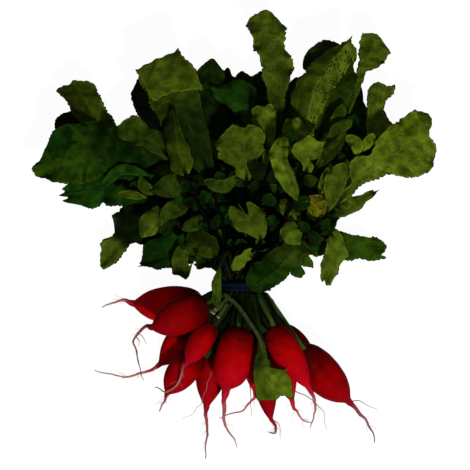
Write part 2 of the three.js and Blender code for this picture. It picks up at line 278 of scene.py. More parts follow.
def stacked(*values):
    return np.stack(np.broadcast_arrays(*values), axis=-1).reshape(-1, len(values))


# ---- radishes

# Waxy crimson skin, washed: a soft broad shine, pinker where it thins into the root.
skinLook = {
    # from the crown to the middle of the whole length is bulb, the rest is root
    # the dark first stops are painted shade on the crown and shoulders, under the leaves
    "stops": [(0.0, "#5c0a0c"), (0.07, "#640003"), (0.21, "#b40004"), (0.46, "#ba0718"), (0.58, "#b42038"),
              (0.74, "#c07070"), (1.0, "#a98a70")],
    "scar": "#e0b0a0",
    "roughness": 0.62,
    "shine": 0.015,
    "ior": 1.45,
    "patchSize": 9.0,  # mm
    "patchShade": (0.3, 0.7, 0.78, 1.12),
    "scarSpacing": 5.0,  # mm between the short pale breathing scars
    "scarSqueeze": 3.2,  # lengthwise, so that the scars are short dashes across the radish
    "scarMask": (0.05, 0.12, 0.06, 0.0),
    "wrinkleScale": 0.6,
    "wrinkleStrength": 0.25,
    "wrinkleDepth": 0.0003,  # m
}


def makeRadishSkin(look):
    material, tree = newMaterial("radishSkin")
    place = attributeOf(tree, "skinPlace")
    ramp = addNode(tree, "ShaderNodeValToRGB", {"Fac": attributeOf(tree, "skinAlong", "Fac")})
    elements = ramp.color_ramp.elements
    while len(elements) < len(look["stops"]):
        elements.new(0.5)
    for element, (position, colour) in zip(elements, look["stops"]):
        element.position = position
        element.color = linearColour(colour)
    patches = noiseNode(tree, place, 1 / look["patchSize"], 3.0).outputs["Fac"]
    shade = mathsOf(tree, "MULTIPLY", mapped(tree, patches, *look["patchShade"]),
                    attributeOf(tree, "skinToneAndShade", "Fac"))
    shaded = scaled(tree, ramp.outputs["Color"], shade)
    squeeze = {"operation": "MULTIPLY", 0: place, 1: (1.0, look["scarSqueeze"], 1.0)}
    squeezed = addNode(tree, "ShaderNodeVectorMath", squeeze).outputs["Vector"]
    scars = addNode(tree, "ShaderNodeTexVoronoi", {"Vector": squeezed, "Scale": 1 / look["scarSpacing"]})
    scarMask = mapped(tree, scars.outputs["Distance"], *look["scarMask"])
    wrinkles = noiseNode(tree, squeezed, look["wrinkleScale"], 4.0).outputs["Fac"]
    finishMaterial(tree, look, {
        "Base Color": mixed(tree, scarMask, shaded, linearColour(look["scar"])),
        "Normal": relief(tree, wrinkles, look["wrinkleStrength"], look["wrinkleDepth"])})
    return material


# Share of the length from crown to tip, and share of the greatest radius.
bulbOutlines = {
    "round": [(0, 0.2), (0.015, 0.4), (0.06, 0.66), (0.14, 0.86), (0.26, 0.98), (0.4, 1.0), (0.56, 0.94),
              (0.7, 0.79), (0.82, 0.58), (0.92, 0.36), (1, 0.2)],
    "barrel": [(0, 0.2), (0.015, 0.4), (0.06, 0.7), (0.14, 0.88), (0.28, 0.98), (0.45, 1.0), (0.62, 0.98),
               (0.76, 0.87), (0.87, 0.66), (0.94, 0.43), (1, 0.24)],
    "long": [(0, 0.2), (0.015, 0.4), (0.06, 0.68), (0.14, 0.86), (0.26, 0.98), (0.38, 1.0), (0.54, 0.9),
             (0.7, 0.7), (0.84, 0.46), (0.94, 0.29), (1, 0.2)],
}
# tone is a radish's brightness over the skin's colours: partly its own colour, partly painted light and shade
# for how it is lit
radishes = [
    dict(form="round", girth=27, rootRadius=1.9, tone=1.3, crown=(-31, -13.5, 25), tip=(-81, -13, 4.5),
         root=[(-89, -11, 4), (-96, -12, 3), (-106, -16, 2)]),
    dict(form="round", girth=26, rootRadius=1.3, tone=.57, crown=(-27, -12, 46), tip=(-66, -28.5, 49),
         root=[(-71, -28, 45), (-79, -35, 38), (-79, -50, 24), (-74, -69, 9)],
         rootlets=[[(-78, -33, 38), (-74, -37, 34), (-71, -41, 33)],
                   [(-79, -35, 38), (-76, -40, 32), (-77, -43, 30)]]),
    dict(form="round", girth=17.5, rootRadius=1.4, tone=.85, crown=(-23.5, -25.5, 44),
         tip=(-41.5, -54, 47), root=[(-44, -57, 47), (-48, -69, 41), (-57, -76, 36), (-66, -73, 31)]),
    dict(form="long", girth=21, rootRadius=1.3, tone=1.25, crown=(-40, -32, 10), tip=(-62, -57, 8),
         root=[(-68, -61, 7), (-80, -65, 4), (-96, -66, 2.5), (-110, -62, 2)]),
    dict(form="round", girth=23, rootRadius=1.4, tone=.78, crown=(-34, -46, 30.5), tip=(-56, -77, 26),
         root=[(-58, -82, 21), (-63, -92, 14)]),
    dict(form="long", girth=25, rootRadius=1.7, tone=.7, crown=(-21, -42, 11.5), tip=(-28, -87, 9.5),
         root=[(-28, -96, 8), (-28, -110, 4.5), (-29, -127, 2)],
         rootlets=[[(-24, -61, 24.3), (-26.5, -69, 22.5), (-28.8, -76, 19.3), (-31.5, -84, 13),
                    (-36, -91, 6.5), (-45, -98, 2.5)]]),
    dict(form="barrel", girth=27, rootRadius=2.1, tone=1, crown=(-2.5, -29, 42), tip=(-13.5, -73, 38),
         root=[(-15, -84, 30), (-15, -96, 22), (-11, -108, 14), (-5, -118, 7)]),
    dict(form="long", girth=18, rootRadius=1.2, tone=1.3, crown=(5.5, -35, 22.5), tip=(7.5, -76, 20.5),
         root=[(7, -81, 14), (2, -88, 9), (-9, -94, 5), (-19, -97, 3)],
         rootlets=[[(4, -70, 20), (4, -80, 14), (5, -95, 5)]]),
    dict(form="long", girth=17, rootRadius=1.3, tone=.65, crown=(12.5, -52, 8), tip=(19, -97, 7),
         root=[(22, -104, 6), (22, -107, 5), (17, -107, 4)],
         rootlets=[[(20, -98, 6.5), (25.5, -103, 4), (26, -113, 2)]]),
    dict(form="long", girth=20, rootRadius=1.3, tone=1.3, crown=(21.5, -42, 23), tip=(34, -82, 20),
         root=[(37, -91, 12), (43, -98, 6), (50, -100, 3)],
         rootlets=[[(35, -76, 16), (45, -81, 9), (57, -92, 4), (60, -106, 2)]]),
    dict(form="long", girth=21.5, rootRadius=1.9, tone=1.05, crown=(18.5, -28, 48), tip=(45, -71, 46),
         root=[(49, -79, 41), (51, -89, 31), (48, -103, 14)]),
    dict(form="round", girth=28, rootRadius=1.9, tone=.68, crown=(39, -46, 32), tip=(75.5, -84, 5),
         root=[(82, -91, 3.5), (92, -104, 2.5), (95, -115, 2)],
         rootlets=[[(76.5, -84.5, 5), (86, -85.5, 4), (97, -91, 2)]]),
    dict(form="round", girth=18, rootRadius=1.1, tone=.9, crown=(25, -31, 9), tip=(49, -52, 7),
         root=[(54, -55, 5), (62, -58, 3)]),
    dict(form="round", girth=14, rootRadius=1.1, tone=.6, crown=(-24, -13, 7.5), tip=(-38, -22, 6),
         root=[(-43, -24, 4), (-50, -25, 3)]),
]
radishBuild = {
    "sides": 36,
    "bulbRings": 46,
    "rootRings": 34,
    "rootTip": 0.28,  # mm
    "quickTaper": 0.12,  # share of the root over which the bulb runs out into it
    "swell": (42.0, 0.016),  # wavelength in mm, and share of the radius
    "dents": (15.0, 0.007),
    "rootKnots": (5.0, 0.1),  # wavelength and height in mm
    "rootWander": 0.7,  # mm
    "wanderWaves": [(0, 17.0, 1.0), (5, 15.0, 1.0), (9, 16.0, 0.4)],  # offset, wavelength, share
    "colourRipples": (9.0, 0.018),  # wavelength in mm, and share of the way along
    "hairs": 7,
    "hairSpan": (0.08, 0.75),  # share of the root
    "hairLength": (2.5, 7),
    "hairRadius": 0.16,
    "rootletRadius": 0.42,
    "rootletSides": 6,
    "rootletStep": 1.6,
    "rootletWander": 0.5,
    "rootletTaper": 0.72,
    "rootletFrom": 0.62,  # where its colour starts in the skin's stops
    "rootletTone": 0.8,
}


def makeRootlet(points, rng, thickness):
    build = radishBuild
    spine = Spine(points)
    length = spine.length()
    rows = max(8, int(length / build["rootletStep"]))
    shares = np.linspace(0, 1, rows)
    sides = build["rootletSides"]
    angles = ringAngles(sides)
    radii = (thickness * (1 - build["rootletTaper"] * shares))[:, None]
    points, _, normals, across = spine.frames(shares)
    vertices, faces = tubeAround(points, across, normals, np.cos(angles) * radii, np.sin(angles) * radii)
    wander = np.stack([ripples(rng, shares * length, 0, 9.0), ripples(rng, shares * length, 7, 8.0),
                       np.zeros(rows)], axis=1)
    wander = wander * build["rootletWander"] * smoothSteps(shares, 0, 0.3)[:, None]
    count = len(vertices)
    along = build["rootletFrom"] + (1 - build["rootletFrom"]) * shares
    return (vertices + np.repeat(wander, sides, axis=0), faces,
            {"skinAlong": np.repeat(along, sides), "skinPlace": np.zeros((count, 3)),
             "skinToneAndShade": np.full(count, build["rootletTone"])})


def hairRoutes(spine, bulbShare, rng):
    routes = []
    for _ in range(radishBuild["hairs"]):
        share = bulbShare + (1 - bulbShare) * rng.uniform(*radishBuild["hairSpan"])
        point, tangent, normal, side = (v[0] for v in spine.frames([share]))
        turn = rng.uniform(0, 2 * math.pi)
        away = side * math.cos(turn) + normal * math.sin(turn) * 0.4
        reach = rng.uniform(*radishBuild["hairLength"])
        bent = away * reach * 0.5 + tangent * reach * 0.3
        routes.append([point, point + bent, point + bent + tangent * reach * 0.6 + away * reach * 0.3])
    return routes


def rootRadii(places, bulbEnd, rootRadius):
    # a quick taper from the bulb runs over into the long even one of the root
    tip = radishBuild["rootTip"]
    left = 1 - places
    quick = tip + (bulbEnd - tip) * left ** 1.7 * (0.55 + 0.45 * left)
    even = rootRadius * left ** 0.8 * 0.8 + tip
    return np.where(places < radishBuild["quickTaper"], np.maximum(quick, even), even * 0.6 + quick * 0.4)


def makeRadish(number, radish, material):
    build = radishBuild
    rng = np.random.default_rng(seeds["radish"] + number)
    spine = Spine([radish["crown"], radish["tip"], *radish["root"]])
    bulbShare = 1 / (len(radish["root"]) + 1)
    girth = radish["girth"]
    bulbPlaces = (1 - np.cos(np.linspace(0, 1, build["bulbRings"]) * math.pi)) / 2
    rootPlaces = np.linspace(0, 1, build["rootRings"] + 1)[1:]
    shares = np.concatenate([bulbPlaces * bulbShare, bulbShare + rootPlaces * (1 - bulbShare)])
    bulbRadii = throughKnots(bulbOutlines[radish["form"]], bulbPlaces) * girth / 2
    radii = np.concatenate([bulbRadii, rootRadii(rootPlaces, bulbRadii[-1], radish["rootRadius"])])[:, None]
    points, _, normals, across = spine.frames(shares)
    lengthwise = np.concatenate([[0], np.cumsum(np.linalg.norm(np.diff(points, axis=0), axis=1))])
    lengths = lengthwise[:, None]
    angles = ringAngles(build["sides"])
    x, z = np.cos(angles), np.sin(angles)
    arc = angles * np.maximum(radii, 2.0)

    def rippled(key, rippleX, rippleY):
        wavelength, height = build[key]
        return ripples(rng, rippleX, rippleY, wavelength) * height

    uneven = radii * (1 + rippled("swell", x * girth, lengths)
                      + rippled("dents", x * girth + z * girth * 0.8, lengths))
    isRoot = smoothSteps(np.concatenate([bulbPlaces * 0, rootPlaces]), 0.0, 0.3)[:, None]
    uneven = uneven + rippled("rootKnots", arc * 0, lengths + angles) * isRoot
    wander = np.stack([ripples(rng, lengthwise, offset, wavelength) * share
                       for offset, wavelength, share in build["wanderWaves"]], axis=1)
    points = points + wander * (build["rootWander"] * isRoot)
    vertices, faces = tubeAround(points, across, normals, x * uneven, z * uneven)
    along = np.concatenate([bulbPlaces * 0.5, 0.5 + rootPlaces * 0.5])[:, None]
    along = along + rippled("colourRipples", arc, lengths)
    parts = [(vertices, faces, {"skinAlong": np.clip(along, 0, 1).ravel(),
                                "skinPlace": stacked(arc, lengths, number * 31.0),
                                "skinToneAndShade": np.full(arc.size, radish["tone"])})]
    routes = [(route, build["rootletRadius"]) for route in radish.get("rootlets", [])]
    routes += [(route, build["hairRadius"]) for route in hairRoutes(spine, bulbShare, rng)]
    parts += [makeRootlet(route, rng, thickness) for route, thickness in routes]
    return makePiece("radishBulb%02d" % number, parts, material, ["radish_%02d" % number])


radishSkin = makeRadishSkin(skinLook)
for number, radish in enumerate(radishes, 1):
    makeRadish(number, radish, radishSkin)
print("radishes made")


# ---- rubber band

# Dark blue natural rubber, cut from a tube: matt, with a dull shine along its edges.
bandLook = {"colour": "#051120", "roughness": 0.6, "shine": 0.03, "ior": 1.52}
bandBuild = {
    "turns": 3,
    "width": 2.1,
    "gap": 0.15,
    "thickness": 1.1,
    "halfWidth": 20.3,
    "halfHeight": 15.7,
    "steps": 96,
    "slant": 1.6,  # mm, at most
    "ripple": (30.0, 0.2),  # wavelength and height
    "section": [(-1, -1), (-0.4, -1.15), (0.4, -1.15), (1, -1), (1, 1), (0.4, 1.15), (-0.4, 1.15), (-1, 1)],
}


def makeBandRubber(look):
    material, tree = newMaterial("bandRubber")
    finishMaterial(tree, look, {"Base Color": linearColour(look["colour"])})
    return material


def makeBand(build, material):
    rng = np.random.default_rng(seeds["band"])
    steps, sides = build["steps"], len(build["section"])
    wavelength, height = build["ripple"]
    angles = ringAngles(steps)
    out = np.stack([np.cos(angles), np.zeros(steps), np.sin(angles)], axis=1)
    faces = ringFaces(steps, sides)
    faces += [((steps - 1) * sides + s, s, (s + 1) % sides, (steps - 1) * sides + (s + 1) % sides)
              for s in range(sides)]
    parts = []
    for turn in range(build["turns"]):
        offset = (turn - (build["turns"] - 1) / 2) * (build["width"] + build["gap"])
        slant = rng.uniform(-build["slant"], build["slant"])
        y = offset + slant * np.cos(angles + rng.uniform(0, 6))
        y = y + ripples(rng, angles * 10, 0, wavelength) * height
        middle = np.stack([tie[0] + out[:, 0] * build["halfWidth"], y,
                           tie[2] + out[:, 2] * build["halfHeight"]], axis=1)
        ring = [middle + np.array([0, across * build["width"] / 2, 0]) + out * rise * build["thickness"] / 2
                for across, rise in build["section"]]
        parts.append((np.stack(ring, axis=1).reshape(-1, 3), faces, {}))
    return makePiece("rubberBand", parts, material, ["rubber_band"])


makeBand(bandBuild, makeBandRubber(bandLook))
print("rubber band made")


# ---- leaves

# Rough hairy leaf tissue, picked a day ago: matt, olive above, with paler veins and small dark specks.
leafLook = {
    # the stalks' colour is painted dark as shade, for stalks deep inside the bunch
    "stalkColour": "#121808",
    "cutColour": "#8d8f60",
    "stubColour": "#3e4828",
    "speckColour": "#15180a",
    "roughness": 0.62,
    "shine": 0.02,
    "ior": 1.42,
    "veinPaleness": 2.0,
    "veinShare": 0.3,
    "ribPaleness": 1.3,
    "undersidePaleness": (1.25, 1.25, 1.35, 1.0),
    "patchSize": 22.0,  # mm
    "patchShade": (0.32, 0.68, 0.6, 1.3),
    "crinkleSize": 6.0,  # mm across the swellings between the small veins
    # painted shading that follows the swellings of the relief
    "crinklePaintedShading": (0.36, 0.64, 0.6, 1.32),
    "crinkleHeight": 3.0,
    "cellSize": 2.3,  # mm across the fine net between the veins
    "netBend": (1.6, 1.6, 0.0),
    "netWidth": (0.0, 0.16, 0.3, 0.0),
    "veinWidth": (0.01, 0.06, 0.5, 0.0),
    # painted light on the leaf rim: a painted highlight just inside the edge and painted shade at the very
    # edge
    "paintedRimHighlight": (0.7, 1.7, 0.7, 0.0),  # mm from the edge, and share
    "paintedRimShade": (0.3, 0.95, 0.15, 1.0),  # mm from the edge, and brightness
    "speckSpacing": 2.3,  # mm
    "speckSize": 0.2,
    "reliefStrength": 0.8,
    "reliefDepth": 0.0006,  # m
}

# Leaf colours with painted light and shade, from the sunlit tips of the upper leaves down to the old leaves
# in the shade below.
leafTones = {
    "sunlit": "#5c7014",
    "fresh": "#4f6212",
    "olive": "#43530d",
    "moss": "#34470a",
    "dull": "#2a3a08",
    "shade": "#182905",
    "deep": "#0d1b04",
    "gloom": "#060a03",
    "green": "#2d4907",
    "cool": "#1c3e08",
    "darkCool": "#112e05",
    "yellowed": "#615f0c",
}


def makeLeafTissue(look):
    material, tree = newMaterial("leafTissue")
    place = attributeOf(tree, "leafPlace")
    tone = attributeOf(tree, "leafTone", "Color")
    marks = addNode(tree, "ShaderNodeSeparateXYZ", {"Vector": attributeOf(tree, "leafMarks")})
    veinPhase, edgeDistance, stalkness = (marks.outputs[axis] for axis in ("X", "Y", "Z"))
    # uneven olive in broad patches, with painted shading on the small swellings: paler on their tops and
    # darker in the hollows, from the same noise as the relief
    patches = noiseNode(tree, place, 1 / look["patchSize"], 4.0).outputs["Fac"]
    crinkles = noiseNode(tree, place, 1 / look["crinkleSize"], 3.0).outputs["Fac"]
    mottleAndPaintedShading = mathsOf(tree, "MULTIPLY", mapped(tree, patches, *look["patchShade"]),
                     mapped(tree, crinkles, *look["crinklePaintedShading"]))
    # the fine net of veins, and side veins where the phase crosses a whole number
    bent = addNode(tree, "ShaderNodeVectorMath",
                   {"operation": "MULTIPLY_ADD", 0: noiseNode(tree, place, 0.25, 2.0).outputs["Color"],
                    1: look["netBend"], 2: place}).outputs["Vector"]
    cells = addNode(tree, "ShaderNodeTexVoronoi",
                    {"feature": "DISTANCE_TO_EDGE", "Vector": bent, "Scale": 1 / look["cellSize"]})
    net = mapped(tree, cells.outputs["Distance"], *look["netWidth"])
    sideVein = mapped(tree, mathsOf(tree, "PINGPONG", veinPhase, 0.5), *look["veinWidth"])
    veins = mathsOf(tree, "MAXIMUM", net, sideVein)
    paler = scaled(tree, tone, look["veinPaleness"])
    veinShare = mathsOf(tree, "MULTIPLY", veins, look["veinShare"])
    colour = mixed(tree, veinShare, scaled(tree, tone, mottleAndPaintedShading), paler)
    # painted light at the rim: painted shade at the very edge, where it turns down, and a painted highlight
    # just inside it, where it would catch more light
    colour = mixed(tree, mapped(tree, edgeDistance, *look["paintedRimHighlight"]), colour, paler)
    colour = scaled(tree, colour, mapped(tree, edgeDistance, *look["paintedRimShade"]))
    # dark specks, in patches
    specks = addNode(tree, "ShaderNodeTexVoronoi", {"Vector": place, "Scale": 1 / look["speckSpacing"]})
    speckSize = mathsOf(tree, "MULTIPLY", attributeOf(tree, "leafTone", "Alpha"), look["speckSize"])
    speckShare = mathsOf(tree, "LESS_THAN", specks.outputs["Distance"], speckSize)
    colour = mixed(tree, speckShare, colour, linearColour(look["speckColour"]))
    # stalk and midrib: 1 is stalk, 2 is its cut end
    colour = mixed(tree, stalkness, colour, tone)
    cutShare = mathsOf(tree, "SUBTRACT", stalkness, 1.0, True)
    colour = mixed(tree, cutShare, colour, linearColour(look["cutColour"]))
    # net and side veins are pressed in, so the tissue between them stands up
    height = mathsOf(tree, "SUBTRACT", mathsOf(tree, "MULTIPLY", crinkles, look["crinkleHeight"]), veins)
    finishMaterial(tree, look, {
        "Base Color": colour, "Normal": relief(tree, height, look["reliefStrength"], look["reliefDepth"])})
    return material


# Half widths along a blade: (share of its length, left, right), as shares of half the leaf's width.
bladeForms = {
    "lobed": [(0, .1, .1), (.06, .34, .3), (.12, .16, .2), (.18, .46, .5), (.25, .3, .28), (.36, .72, .66),
              (.5, .9, .95), (.6, .86, .9), (.74, 1, 1), (.88, .92, .9), (1, .6, .64)],
    "strap": [(0, .22, .2), (.15, .5, .5), (.35, .8, .84), (.6, 1, .96), (.85, .95, .98), (1, .66, .66)],
    "oval": [(0, .1, .1), (.12, .5, .48), (.3, .88, .9), (.5, 1, 1), (.7, .92, .9), (.88, .66, .66),
             (1, .3, .3)],
    "broad": [(0, .3, .3), (.1, .6, .62), (.25, .86, .9), (.45, 1, .98), (.65, .98, 1), (.85, .9, .9),
              (1, .6, .6)],
    "point": [(0, .2, .2), (.15, .6, .6), (.35, .98, .95), (.5, 1, 1), (.7, .72, .75), (.88, .36, .36),
              (1, .08, .08)],
}
# How far towards the tip a blade reaches: (place across, -1 left to 1 right, share of its length).
bladeEnds = {
    "round": [(-1, .8), (-.75, .9), (-.4, .98), (0, 1), (.4, .98), (.75, .9), (1, .8)],
    "blunt": [(-1, .88), (-.6, .97), (0, 1), (.6, .96), (1, .88)],
    "ragged": [(-1, .8), (-.6, .94), (-.3, .9), (0, 1), (.35, .93), (.6, .97), (1, .82)],
    "pointed": [(-1, .95), (-.5, .98), (0, 1), (.5, .98), (1, .95)],
}
up = (0, 0, 1)
# What a leaf is like unless its own line says otherwise.
leafDefaults = {
    "face": up,
    "form": "broad",
    "end": "round",
    "fold": 12,  # degrees
    "wave": 4.2,  # mm up and down at the margin
    "curl": (25, 25),  # degrees, left and right
    # painted shade: one half of a folded blade is painted darker where it faces away from the light
    "halves": (1, 1),  # brightness, left and right
    "specks": 0.25,
    "slow": 1.0,  # unevenness of the outline
    "flap": 0,  # mm folded back over the blade
    "toneRise": (0.2, 0.75),  # share of the blade over which the colour goes from base to tip
    "stalkTone": leafLook["stalkColour"],
    "stubTone": leafLook["stubColour"],
    "thickness": 1.0,
    "via": [],
    "leaflets": [],
    "stubs": [],
}


def filledIn(leaf):
    return {**leafDefaults, "baseTone": leaf["tone"], **leaf}


